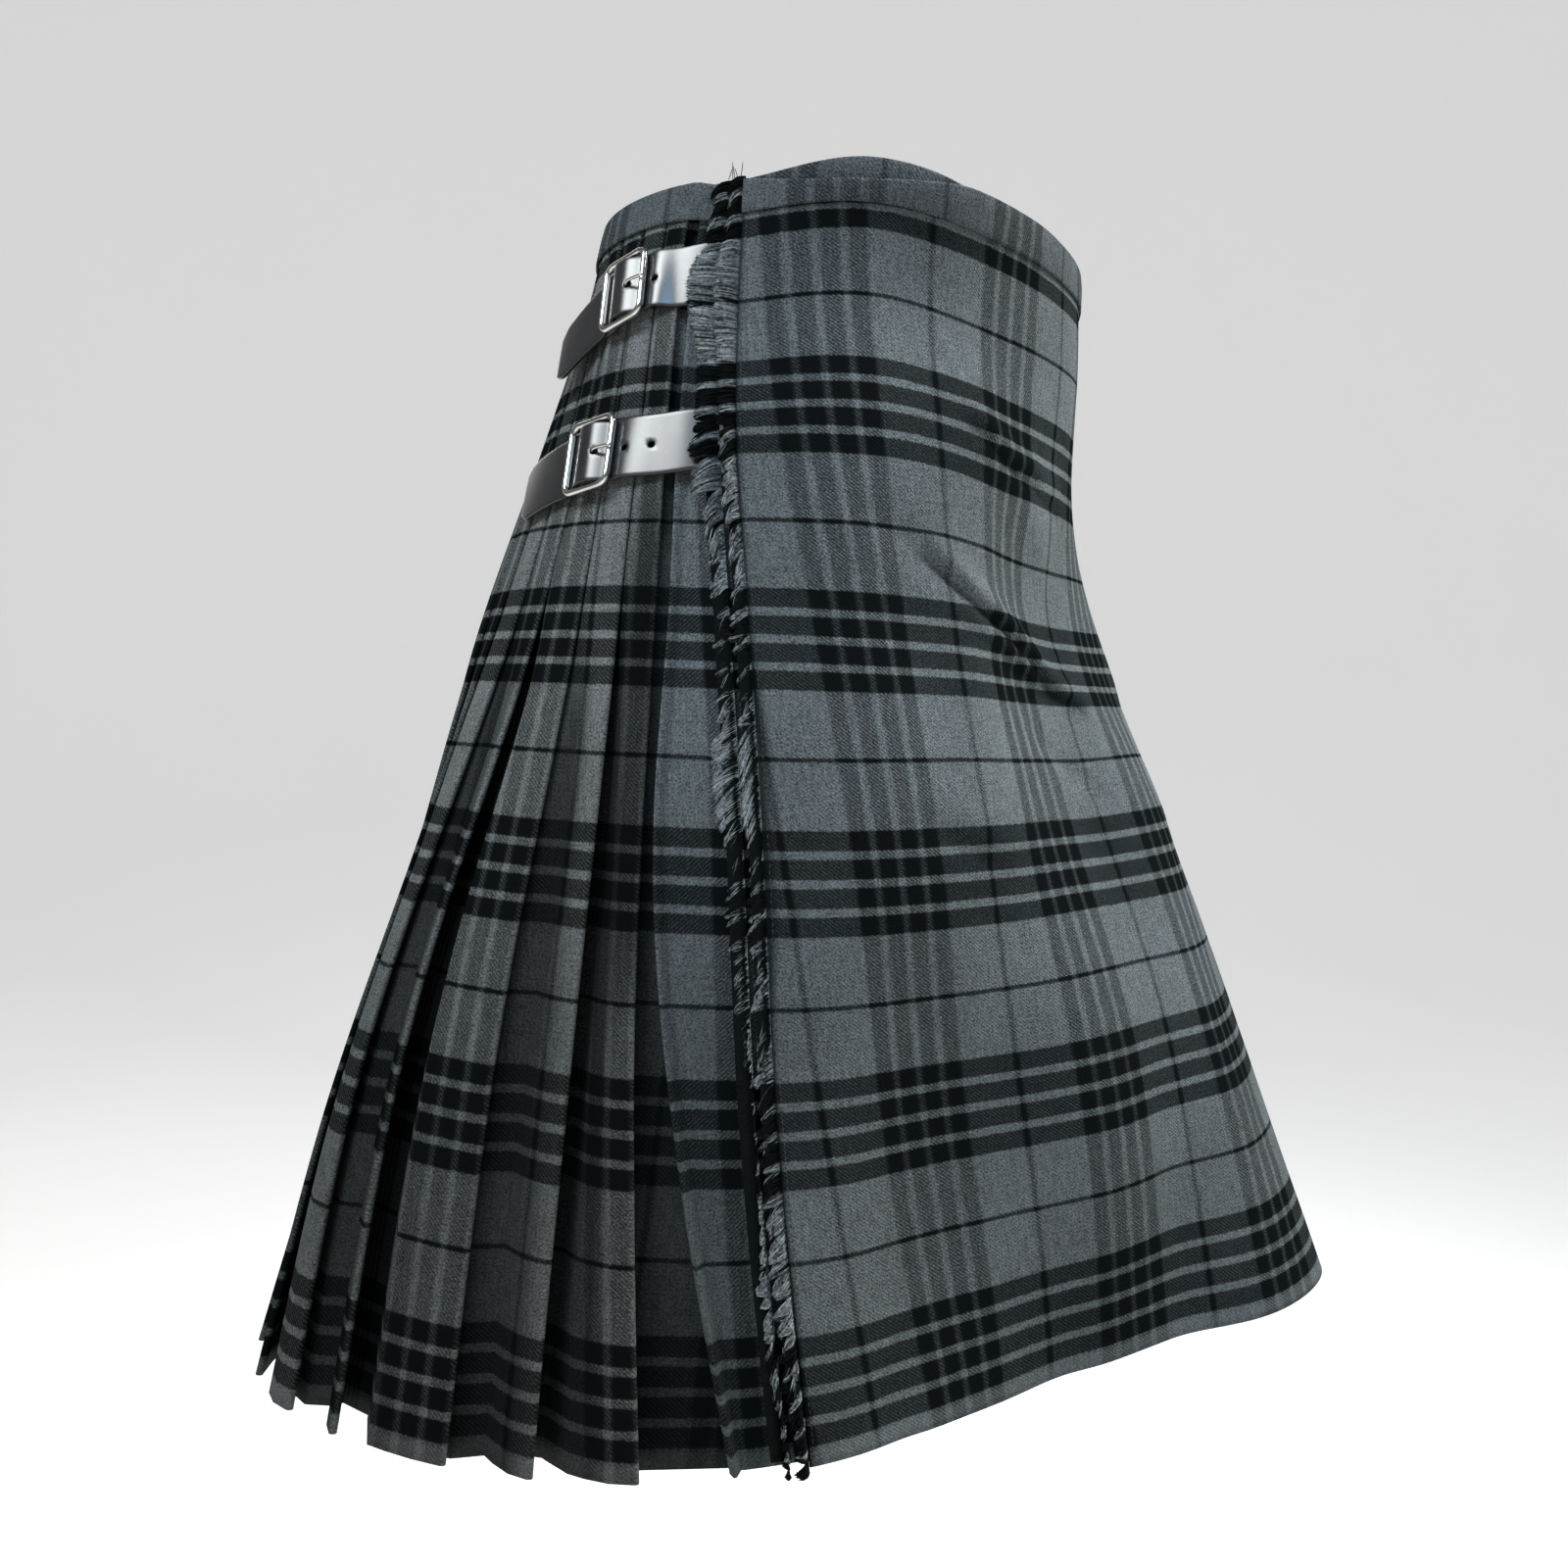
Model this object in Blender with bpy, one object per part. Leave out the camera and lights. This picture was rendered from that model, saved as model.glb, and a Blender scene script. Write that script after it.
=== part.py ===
"""Scottish kilt, knife pleated, held in the shape it takes on a wearer who steps forward.

Units are metres and +Z is up. The front faces -Y and the wearer's left is +X. The origin is the
middle of the waist, level with the top of the waistband, where the wearer holds the kilt up.

Every cloth piece is a thin closed wall. Its surface is worked out from SECTIONS, which gives the
garment's outline at seven heights. A place on the garment is named by its drop (cloth length below
the waist top), its arc (cloth length round the ring at that drop) and its level (how far it stands
outside the outline; a negative level lies inside it).
"""

import math

import bmesh
import bpy
import numpy as np

MM = 0.001

# ---- the garment's outline ---------------------------------------------------------------------
# Bearing 0 is the front, 90 the wearer's left, 180 the back, 270 the wearer's right.
BEARINGS = (0, 25, 50, 90, 135, 180, 215, 240, 265, 290, 315, 340)
# One row a height: mm below the waist top, then the outline's radius in mm at each bearing.
SECTIONS = (
    (0, 129, 133, 145, 163, 142, 127, 135, 152, 159, 162, 153, 136),
    (60, 124, 132, 143, 179, 160, 150, 157, 166, 174, 164, 142, 126),
    (130, 121, 128, 144, 192, 178, 168, 181, 188, 190, 180, 153, 126),
    (215, 117, 134, 168, 202, 198, 190, 210, 217, 210, 192, 156, 122),
    (320, 148, 180, 205, 212, 220, 216, 236, 250, 230, 207, 176, 149),
    (450, 189, 225, 243, 229, 253, 254, 275, 296, 252, 211, 170, 176),
    (620, 193, 283, 268, 249, 299, 303, 324, 344, 291, 223, 175, 164),
)
WAIST_TILT = 0.042  # the waist stands this much higher at the back, mm per mm
TILT_ENDS = 300.0  # drop at which the tilt has faded out
# Diagonal drag folds: bearing and drop of both ends, height of the ridge, width above, width below.
FOLDS = (
    (-42, 212, 16, 264, 6.5, 30.0, 7.0),  # breaks over the forward thigh
    (-46, 96, 8, 178, 3.0, 30.0, 16.0),  # from the right hip to the belly
    (-58, 190, -34, 420, -3.0, 26.0, 26.0),  # trough down from the hip
    (40, 250, 84, 190, 4.0, 26.0, 12.0),  # the same pull on the wearer's left
    (34, 330, 74, 520, -4.0, 30.0, 30.0),  # trough beside the forward knee
)
DEGREE_MM = 2.9  # one degree of bearing is about this much cloth
# Where the cloth rides up (or sinks) on the body: bearing, drop, height, degrees wide, mm tall.
RIDES = (
    (-58, 55, 6.0, 16, 105),  # over the right hip bone
    (-84, 60, -2.5, 10, 60),  # drawn down beside the edge
    (0, 175, -3.2, 36, 50),  # sinks in the middle of the belly
    (26, 405, -2.4, 14, 70),
    (-26, 530, 5.0, 24, 110),  # over the forward thigh
    (2, 560, 3.4, 14, 100),
)

# ---- the pieces' sizes, mm ---------------------------------------------------------------------
KILT_DROP = 609.0
BACK_HANG = 9.0  # the pleats at the right of the back hang this much longer
CLOTH = 1.2
LAYER = 1.8  # from one folded layer's middle to the next
SEAM_GAP = 0.3
PANEL_TOP = 1.6  # cloth ends this far under the waistband's fold
BAND_TALL = 20.0
BAND_WALL = 1.0
# Where the two aprons' top edges part: middle arc, half width, and depth or height.
SAG = (50.0, 75.0, 8.6)  # the over apron's top dips below the waist
PEEK = (78.0, 84.0, 5.3)  # the under apron's top shows above the waist
SAG_RAMP = 0.9  # the outer share of the half width in which either runs out
FELL_DROP = 215.0  # pleats are stitched down to here
DART_DROP, LOOSE_DROP = 141.0, 290.0  # their folds lie alike above the first, unequally past the second

# Wearer's right edge of the over apron: drop, bearing.
APRON_EDGE = ((0, -81), (60, -81), (130, -79.5), (215, -76.5), (320, -73.5), (450, -71.5), (620, -67))
APRON_LEFT = 97.0  # bearing of the over apron's folded left edge
BACK_END = APRON_LEFT - 360.0
APRON_TURN = 26.0  # cloth folded back under that edge
UNDER_LEFT = 66.0  # bearing of the under apron's free left edge
UNDER_LEVEL = -7.0  # the under apron hangs this far inside the over apron
SLIT_BEARING = 84.0  # the left strap comes out through a slit in the over apron
SLIT_WIDE = 9.4
SLIT_TALL = 37.0

# The right side's inverted pleat: drop, apron edge to the flat pleat's fold, and to pleat 1's fold.
SIDE_PLEAT = (
    (0, 26, 32), (105, 30, 35), (215, 39, 46), (330, 52, 58), (480, 46, 67), (620, 35, 79),
)
SIDE_TURN = 24.0  # cloth folded back under the flat pleat
SIDE_COLUMNS = (SIDE_TURN, 14.0, 5.0, 1.2)
SIDE_RISE = 3.2  # the flat pleat's fold stands this far out from the rest of the under apron

N_PLEATS = 24
# Spacing of the first pleats, at the fell, half way down and at the hem; the rest share what is left.
FIRST_PLEATS = (
    (18, 26, 48), (23, 36, 41), (27, 50, 60), (21, 32, 33), (22, 34, 44), (22, 34, 45),
)
WAIST_SHARE = 0.78  # spacing at the waist against the fell
# How far a pleat's fold stands out from the cloth beside it: drop, lift.
PLEAT_LIFT = ((0, 3.7), (215, 3.8), (290, 7.0), (400, 11.0), (620, 15.5))
# The same fold's share of that lift: pleats 2 and 4 spring out, 3 and 5 lie nearly flat.
LIFT_SHARES = (0.9, 1.35, 0.5, 1.5, 0.6, 1.1, 0.8)
PLEAT_DEPTH = 0.68  # folded depth, as a share of the spacing

# ---- fringe, straps and buckles ----------------------------------------------------------------
FRINGE_BACKING = 3.0
FRINGE_LOCKS = 72
FRINGES = (("fringe_upper", 11.0, 0.2, 0), ("fringe_lower", 21.5, -1.9, 1))
STRAP_WIDE = 31.5
STRAP_WALL = 2.2
BUCKLE_TALL = 40.0
BUCKLE_LONG = 33.0
BUCKLE_ROD = 3.4
BUCKLE_BAR = 2.4
BUCKLE_LIFT = 7.2  # the frame's middle plane above the pleats
BUCKLE_CORNER = 5.0
BAR_SINK = 2.6  # the centre bar lies this much nearer the cloth
PRONG_ROD = 1.6
# The prong past its turn round the bar: distance past the buckle's middle, level.
PRONG_PATH = [(-2.4, 7.2), (-4.6, 9.2), (-6.8, 10.7), (-10.5, 11.0), (-14.8, 10.3), (-17.6, 10.1)]
TAB_WALL = 1.5
TAB_LONG = 40.0


# ---- interpolation -----------------------------------------------------------------------------
def smooth(knots, values, at):
    """Smooth curve through the values at the knots, read at `at`."""
    knots = np.asarray(knots, float)
    values = np.asarray(values, float)
    at = np.clip(np.asarray(at, float), knots[0], knots[-1])
    wide = (-1,) + (1,) * (values.ndim - 1)
    step = np.diff(knots)
    slope = np.diff(values, axis=0) / step.reshape(wide)
    tangent = np.concatenate([slope[:1], slope[:1] * 0 + slope[1:], slope[-1:]])
    share = (step[:-1] / (step[:-1] + step[1:])).reshape(wide)
    tangent[1:-1] = slope[:-1] * (1 - share) + slope[1:] * share
    i = np.clip(np.searchsorted(knots, at, side="right") - 1, 0, len(knots) - 2)
    t = ((at - knots[i]) / step[i]).reshape((-1,) + (1,) * (values.ndim - 1))
    h = step[i].reshape(t.shape)
    return (
        (2 * t**3 - 3 * t**2 + 1) * values[i]
        + (t**3 - 2 * t**2 + t) * h * tangent[i]
        + (3 * t**2 - 2 * t**3) * values[i + 1]
        + (t**3 - t**2) * h * tangent[i + 1]
    )


def column(table, which, at):
    """One column of a table whose first column is the drop."""
    rows = np.array(table, float)
    return float(smooth(rows[:, 0], rows[:, which], [at])[0])


def ease(low, high, at):
    """0 below low, 1 above high, smooth between."""
    t = min(max((at - low) / (high - low), 0.0), 1.0)
    return t * t * (3 - 2 * t)


# ---- rings -------------------------------------------------------------------------------------
RING_BEARINGS = np.arange(-300.0, 161.0, 1.5)
FINE_HEIGHTS = np.arange(0.0, 651.0, 5.0)


def outline_grid():
    """Radius at every fine height and ring bearing."""
    rows = np.array(SECTIONS, float)
    bearings = np.array(BEARINGS, float)
    round_three_times = np.concatenate([bearings - 360, bearings, bearings + 360])
    radii = np.tile(rows[:, 1:], (1, 3))
    by_bearing = smooth(round_three_times, radii.T, RING_BEARINGS).T
    return smooth(rows[:, 0], by_bearing, FINE_HEIGHTS)


OUTLINE = outline_grid()
CLOTH_LENGTH = np.concatenate(
    [
        np.zeros((1, len(RING_BEARINGS))),
        np.cumsum(np.hypot(np.diff(OUTLINE, axis=0), 5.0), axis=0),
    ]
)
RINGS = {}


def fold_height(bearing, drop):
    """How far the drag folds push the cloth out here."""
    total = np.zeros_like(bearing)
    for b0, d0, b1, d1, high, above, below in FOLDS:
        along_b = (b1 - b0) * DEGREE_MM
        along_d = d1 - d0
        length = math.hypot(along_b, along_d)
        from_b = (bearing - b0) * DEGREE_MM
        from_d = drop - d0
        t = (from_b * along_b + from_d * along_d) / length**2
        side = (from_d * along_b - from_b * along_d) / length
        if along_b < 0:
            side = -side
        fade = np.clip(1.0 - (2 * t - 1) ** 2, 0, 1) ** 0.7
        wide = np.where(side < 0, above, below)
        total = total + high * fade * np.exp(-((side / wide) ** 2))
    return total


def ring(drop):
    """Points, outward normals and arc lengths of the garment's outline at one drop."""
    key = round(float(drop), 4)
    if key in RINGS:
        return RINGS[key]
    count = len(RING_BEARINGS)
    height = np.empty(count)
    radius = np.empty(count)
    for j in range(count):
        height[j] = np.interp(drop, CLOTH_LENGTH[:, j], FINE_HEIGHTS)
        radius[j] = np.interp(height[j], FINE_HEIGHTS, OUTLINE[:, j])
    radius = radius + fold_height(RING_BEARINGS, drop)
    hang = BACK_HANG * np.exp(-(((RING_BEARINGS + 122) / 30) ** 2)) * ease(FELL_DROP, KILT_DROP, drop)
    angle = np.radians(RING_BEARINGS)
    x = radius * np.sin(angle)
    y = -radius * np.cos(angle)
    z = -height - hang + WAIST_TILT * y * max(0.0, 1 - drop / TILT_ENDS)
    for b0, d0, high, wide, tall in RIDES:
        z = z + high * np.exp(-(((RING_BEARINGS - b0) / wide) ** 2) - ((drop - d0) / tall) ** 2)
    points = np.stack([x, y, z], axis=1)
    along = np.gradient(points[:, :2], axis=0)
    along /= np.linalg.norm(along, axis=1, keepdims=True)
    normals = np.stack([along[:, 1], -along[:, 0]], axis=1)
    steps = np.linalg.norm(np.diff(points, axis=0), axis=1)
    arcs = np.concatenate([[0.0], np.cumsum(steps)])
    edge = smooth([r[0] for r in APRON_EDGE], [r[1] for r in APRON_EDGE], [drop])[0]
    arcs -= np.interp(edge, RING_BEARINGS, arcs)
    RINGS[key] = (points, normals, arcs)
    return RINGS[key]


def arc_of(drop, bearing):
    """Arc, measured from the over apron's right edge towards the front, of a bearing."""
    return float(np.interp(bearing, RING_BEARINGS, ring(drop)[2]))


def spot(drop, arc, level=0.0):
    """The place at this drop, arc and level, in mm."""
    points, normals, arcs = ring(drop)
    place = [np.interp(arc, arcs, points[:, k]) for k in range(3)]
    facing = np.array([np.interp(arc, arcs, normals[:, k]) for k in range(2)])
    facing /= np.linalg.norm(facing)
    return np.array([place[0] + facing[0] * level, place[1] + facing[1] * level, place[2]])


def sagging(arc, stretch):
    """Depth of the dip (or rise) at this arc; it is level in the middle of its stretch."""
    middle, half, deep = stretch
    run_out = (abs(arc - middle) / half - 1.0 + SAG_RAMP) / SAG_RAMP
    away = min(max(run_out, 0.0), 1.0)
    return deep * 0.5 * (1 + math.cos(math.pi * away))


# ---- making solids -----------------------------------------------------------------------------
def material(name, colour, roughness, metallic=0.0):
    """A plain Principled material."""
    made = bpy.data.materials.new(name)
    made.use_nodes = True
    shader = made.node_tree.nodes["Principled BSDF"]
    shader.inputs["Base Color"].default_value = (*colour, 1.0)
    shader.inputs["Roughness"].default_value = roughness
    shader.inputs["Metallic"].default_value = metallic
    made.diffuse_color = (*colour, 1.0)
    return made


def solid(name, points, faces, finish):
    """A closed mesh from points in mm."""
    mesh = bpy.data.meshes.new(name)
    mesh.from_pydata([tuple(float(c) * MM for c in p) for p in points], [], faces)
    shape = bmesh.new()
    shape.from_mesh(mesh)
    bmesh.ops.recalc_face_normals(shape, faces=shape.faces)
    shape.to_mesh(mesh)
    shape.free()
    mesh.materials.append(finish)
    made = bpy.data.objects.new(name, mesh)
    bpy.context.scene.collection.objects.link(made)
    return made


def side_steps(rows):
    """For each row of points, the plan direction that points to the wall's outer side."""
    steps = []
    for row in rows:
        flat = np.asarray(row)[:, :2]
        legs = np.diff(flat, axis=0)
        legs /= np.maximum(np.linalg.norm(legs, axis=1, keepdims=True), 1e-9)
        sides = np.stack([legs[:, 1], -legs[:, 0]], axis=1)
        before = np.concatenate([sides[:1], sides])
        after = np.concatenate([sides, sides[-1:]])
        middle = before + after
        middle /= np.maximum(np.linalg.norm(middle, axis=1, keepdims=True), 1e-9)
        stretch = 1 / np.maximum((middle * after).sum(axis=1, keepdims=True), 0.55)
        steps.append(np.concatenate([middle * stretch, np.zeros((len(flat), 1))], axis=1))
    return steps


def shell(name, outer, inner, finish, skip=()):
    """A closed wall between two grids of points. `skip` names cells that are left open."""
    n_rows = len(outer)
    n_cols = len(outer[0])
    points = [p for grid in (outer, inner) for row in grid for p in row]
    kept = np.ones((n_rows - 1, n_cols - 1), bool)
    for i, j in skip:
        kept[i, j] = False
    # where the cloth doubles back, its cells are cut along the other diagonal, as the layer above is
    places = np.array(outer, float)
    legs = places[:, 1:] - places[:, :-1]
    doubled = places[:, :-1, 0] * legs[:, :, 1] - places[:, :-1, 1] * legs[:, :, 0] < 0

    def corner(side, i, j):
        return side * n_rows * n_cols + i * n_cols + j

    faces = []
    for i in range(n_rows - 1):
        for j in range(n_cols - 1):
            if not kept[i, j]:
                continue
            # both sides are cut along the same diagonal, so that the wall keeps its thickness
            for side in (0, 1):
                top, under = corner(side, i, j), corner(side, i + 1, j)
                next_top, next_under = corner(side, i, j + 1), corner(side, i + 1, j + 1)
                if doubled[i, j]:
                    cut = [[top, under, next_top], [under, next_under, next_top]]
                else:
                    cut = [[top, under, next_under], [top, next_under, next_top]]
                faces += [face[:: 1 - 2 * side] for face in cut]
            for di, dj, a, b in (
                (-1, 0, (i, j), (i, j + 1)),
                (1, 0, (i + 1, j), (i + 1, j + 1)),
                (0, -1, (i, j), (i + 1, j)),
                (0, 1, (i, j + 1), (i + 1, j + 1)),
            ):
                ni, nj = i + di, j + dj
                if 0 <= ni < n_rows - 1 and 0 <= nj < n_cols - 1 and kept[ni, nj]:
                    continue
                faces.append([corner(0, *a), corner(0, *b), corner(1, *b), corner(1, *a)])
    used = sorted({v for face in faces for v in face})
    renumber = {v: k for k, v in enumerate(used)}
    kept_faces = [[renumber[v] for v in face] for face in faces]
    return solid(name, [points[v] for v in used], kept_faces, finish)


def wall(name, rows, thickness, finish, skip=()):
    """A cloth or leather wall about rows of points, thickened sideways in plan."""
    half = thickness / 2
    steps = side_steps(rows)
    outer = [np.asarray(row) + step * half for row, step in zip(rows, steps)]
    inner = [np.asarray(row) - step * half for row, step in zip(rows, steps)]
    return shell(name, outer, inner, finish, skip)


def swept(name, rings, finish, closed=False, turned=()):
    """A rod or strip through closed rings of points; its two ends are capped unless it closes.

    The sides named in `turned` are cut along their other diagonal.
    """
    count = len(rings[0])
    points = [p for row in rings for p in row]
    faces = []
    last = len(rings) if closed else len(rings) - 1
    for i in range(last):
        j = (i + 1) % len(rings)
        for k in range(count):
            m = (k + 1) % count
            here, under, next_under, beside = i * count + k, i * count + m, j * count + m, j * count + k
            if k in turned:
                faces += [[here, under, beside], [under, next_under, beside]]
            else:
                faces += [[here, under, next_under], [here, next_under, beside]]
    if not closed:
        faces.append(list(range(count)))
        faces.append([(len(rings) - 1) * count + k for k in range(count)])
    return solid(name, points, faces, finish)


def rod_rings(path, radius, sides, plane_normal, closed=False, phase=0.5):
    """Rings of a round rod along points that lie in one plane."""
    path = [np.asarray(p, float) for p in path]
    radii = radius if hasattr(radius, "__len__") else [radius] * len(path)
    up = np.asarray(plane_normal, float)
    rings = []
    for i, place in enumerate(path):
        before = path[i - 1] if i or closed else place
        after = path[(i + 1) % len(path)] if i + 1 < len(path) or closed else place
        along = after - before
        along /= np.linalg.norm(along)
        across = np.cross(up, along)
        across /= np.linalg.norm(across)
        one = []
        for k in range(sides):
            a = 2 * math.pi * (k + phase) / sides
            one.append(place + radii[i] * (math.cos(a) * across + math.sin(a) * up))
        rings.append(one)
    return rings


# ---- cloth pieces ------------------------------------------------------------------------------
ROW_DROPS = (0, 22, 60, 105, 140, 176, 200, 214, 226, 238, 252, 268, 300, 345, 395, 450, 505, 560, 609)


FRONT_SHARES = (
    0, 0.02, 0.045, 0.075, 0.12, 0.18, 0.25, 0.32, 0.38, 0.44, 0.5, 0.56, 0.62, 0.68, 0.74, 0.8, 0.85,
)


def build_over_apron(finish):
    """The outer front panel: cut edge at the wearer's right, folded left edge with its turning."""
    slit_low = BAND_TALL + 12.0
    drops = sorted(set(ROW_DROPS) - {60, 176} | {slit_low, slit_low + SLIT_TALL})
    rows = []
    for drop in drops:
        top = max(drop, PANEL_TOP)
        left = arc_of(top, APRON_LEFT)
        slit = arc_of(top, SLIT_BEARING)
        arcs = [s * left for s in FRONT_SHARES]
        arcs += [slit - 14, slit - SLIT_WIDE / 2, slit + SLIT_WIDE / 2]
        turned = [left - APRON_TURN, left - APRON_TURN / 2, left - 8.0, left - 1.2]
        row = [spot(top + (sagging(a, SAG) if drop == 0 else 0.0), a) for a in arcs + turned]
        row.append(spot(top, left, -LAYER / 2))
        row += [spot(top, a, -LAYER) for a in turned[::-1]]
        rows.append(row)
    hole = (drops.index(slit_low), len(FRONT_SHARES) + 1)
    return wall("over_apron", rows, CLOTH, finish, skip=[hole])


def side_pleat_rows(drop):
    """Arcs of the flat side pleat's fold and of pleat 1's fold, behind the apron's edge."""
    return column(SIDE_PLEAT, 1, drop), column(SIDE_PLEAT, 2, drop)


def under_face_level(drop, back):
    """Level of the under apron's cloth, `back` mm behind the over apron's edge."""
    fold = side_pleat_rows(drop)[0]
    rise = SIDE_RISE + 3.0 * ease(FELL_DROP, KILT_DROP, drop)
    flat, raised = fold - SIDE_COLUMNS[2], fold - SIDE_COLUMNS[3]
    return UNDER_LEVEL + rise * min(max((back - flat) / (raised - flat), 0.0), 1.0)


UNDER_SHARES = (0.0, 0.03, 0.07, 0.13, 0.2, 0.28, 0.37, 0.46, 0.55, 0.66, 0.77, 0.88, 1.0)


def build_under_apron(finish):
    """The inner front panel. Its right end shows beside the fringe as a flat pleat."""
    drops = (0, 22, 60, 100, 141, 205, 235, 290, 330, 370, 450, 530, 609)
    rows = []
    for drop in drops:
        top = max(drop, PANEL_TOP)
        fold, _ = side_pleat_rows(top)
        turned = [fold - short for short in SIDE_COLUMNS]
        row = [(-back, UNDER_LEVEL - LAYER) for back in turned]
        row.append((-fold, (under_face_level(top, fold) + UNDER_LEVEL - LAYER) / 2))
        row += [(-back, under_face_level(top, back)) for back in turned[::-1]]
        left = arc_of(top, UNDER_LEFT)
        row += [(s * left, UNDER_LEVEL) for s in UNDER_SHARES]
        share = 1.0 if drop == 0 else 0.0
        rows.append([spot(top, a, level) + (0.0, 0.0, share * sagging(a, PEEK)) for a, level in row])
    return wall("under_apron", rows, CLOTH, finish)


def pleat_edges(drop):
    """How far behind the apron's edge each pleat's fold lies at this drop."""
    _, first = side_pleat_rows(drop)
    total = -arc_of(drop, BACK_END)
    edges = [first]
    for fell, middle, hem in FIRST_PLEATS:
        knots = (0, FELL_DROP, 385, KILT_DROP + 15)
        edges.append(edges[-1] + float(smooth(knots, (fell * WAIST_SHARE, fell, middle, hem), [drop])[0]))
    left = N_PLEATS - len(FIRST_PLEATS)
    room = total - 4.0 - edges[-1]
    sway = ease(FELL_DROP, KILT_DROP, drop)
    shares = [1 + 0.16 * sway * math.sin(2.4 * k + 0.7) for k in range(left)]
    for share in shares:
        edges.append(edges[-1] + room * share / sum(shares))
    return edges


def build_pleats(finish):
    """The back panel: knife pleats whose folds all face one way, stitched flat above the fell."""
    drops = (0, 60, 141, 205, 235, 290, 370, 450, 530, 609)
    rows = []
    for drop in drops:
        top = max(drop, PANEL_TOP)
        edges = pleat_edges(top)
        lift = column(PLEAT_LIFT, 1, top)
        layer = LAYER + 0.07 * (lift - PLEAT_LIFT[0][1])
        # the folds spring out unequally once they are free of the stitching
        loose = ease(DART_DROP, LOOSE_DROP, top)
        shares = LIFT_SHARES + tuple(0.95 + 0.2 * math.sin(2.1 * k) for k in range(len(edges)))
        lifts = [max(lift * (1 + loose * (share - 1)), 2.06 * layer) for share in shares]
        fold, first = side_pleat_rows(top)
        row = []
        for short in SIDE_COLUMNS[:-1] + (-1.0,):
            row.append((fold - short, UNDER_LEVEL - 2 * LAYER))
        for k, edge in enumerate(edges):
            base = -lifts[k]
            if k == len(edges) - 1:
                row += [(edge - 1.0, base), (edge + 8.0, base)]
                break
            deep = PLEAT_DEPTH * (edges[k + 1] - edge)
            row.append((edge + 0.5, base))
            row.append((edge + deep - 1.2, base))
            row.append((edge + deep, base + layer / 2))
            row.append((edge + deep - 1.2, base + layer))
            row.append((edge + 1.2, -layer))
            row.append((edge, -layer / 2))
            row.append((edge + 1.2, 0.0))
            row.append((edge + deep, base + 2 * layer))
        rows.append([spot(top, -a, level) for a, level in row])
    return wall("pleats", [row[::-1] for row in rows], CLOTH, finish)


BACK_SHARES = 36


def build_waistband(finish):
    """One strip folded over the top edges, from the fringe round the back to the under apron."""
    out = CLOTH / 2 + SEAM_GAP + BAND_WALL / 2 + 0.15
    face = UNDER_LEVEL
    pleats_in = -2 * LAYER - out - 0.6
    fold = column(SIDE_PLEAT, 1, 10.0)
    # a station is the arc at each drop, then the levels of the outer and the inner leg
    stations = []
    for share in FRONT_SHARES:
        stations.append((lambda d, s=share: s * arc_of(d, APRON_LEFT), out, -out))
    n_front = len(stations)
    slit = SLIT_BEARING
    for aside in (-14.0, -SLIT_WIDE / 2, SLIT_WIDE / 2):
        stations.append((lambda d, a=aside: arc_of(d, slit) + a, out, -out))
    for short, inner in ((APRON_TURN, -out - LAYER), (APRON_TURN / 2, -out - LAYER), (8.0, pleats_in)):
        stations.append((lambda d, s=short: arc_of(d, APRON_LEFT) - s, out, inner))
    for k in range(BACK_SHARES + 1):
        share = k / BACK_SHARES
        place = lambda d, s=share: (1 - s) * arc_of(d, BACK_END) - s * (fold + 12.0)
        stations.append((place, out + 0.35, pleats_in))
    # forward of the pleats the strip dives under the over apron with the under apron's cloth
    low = face - 2 * LAYER - out - 0.5
    for back, outer in (
        (fold + 3.0, out),
        (fold - 0.5, face + SIDE_RISE + 2.4 + out),
        (fold - SIDE_COLUMNS[2], face + 0.5 + out),
        (fold - SIDE_COLUMNS[1], face + 0.2 + out),
        (fold - SIDE_COLUMNS[0], face + 0.2 + out),
    ):
        stations.append((lambda d, b=back: -b, outer, low))
    for share in UNDER_SHARES:
        stations.append((lambda d, s=share: s * arc_of(d, UNDER_LEFT), face + out, face - out))
    half = BAND_WALL / 2
    seam = PANEL_TOP - SEAM_GAP
    rings = []
    for number, (place, outer, inner) in enumerate(stations):
        low = sagging(place(10.0), SAG) if number < n_front else 0.0
        rise = sagging(place(10.0), PEEK) if number >= len(stations) - len(UNDER_SHARES) else 0.0
        section = (
            (BAND_TALL, outer + half, 0.0),
            (low + 0.2, outer + half, rise),
            (low, outer - half * 0.4, rise),
            (low, inner + half * 0.4, rise),
            (low + 0.2, inner - half, rise),
            (BAND_TALL - 2.0, inner - half, 0.0),
            (BAND_TALL - 2.0, inner + half, 0.0),
            (low + seam, inner + half, rise),
            (low + seam, outer - half, rise),
            (BAND_TALL, outer - half, 0.0),
        )
        rings.append([spot(drop, place(drop), level) + (0.0, 0.0, up) for drop, level, up in section])
    # both legs are cut as the cloth between them is
    return swept("waistband", rings, finish, turned=(0, 6))


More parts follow.
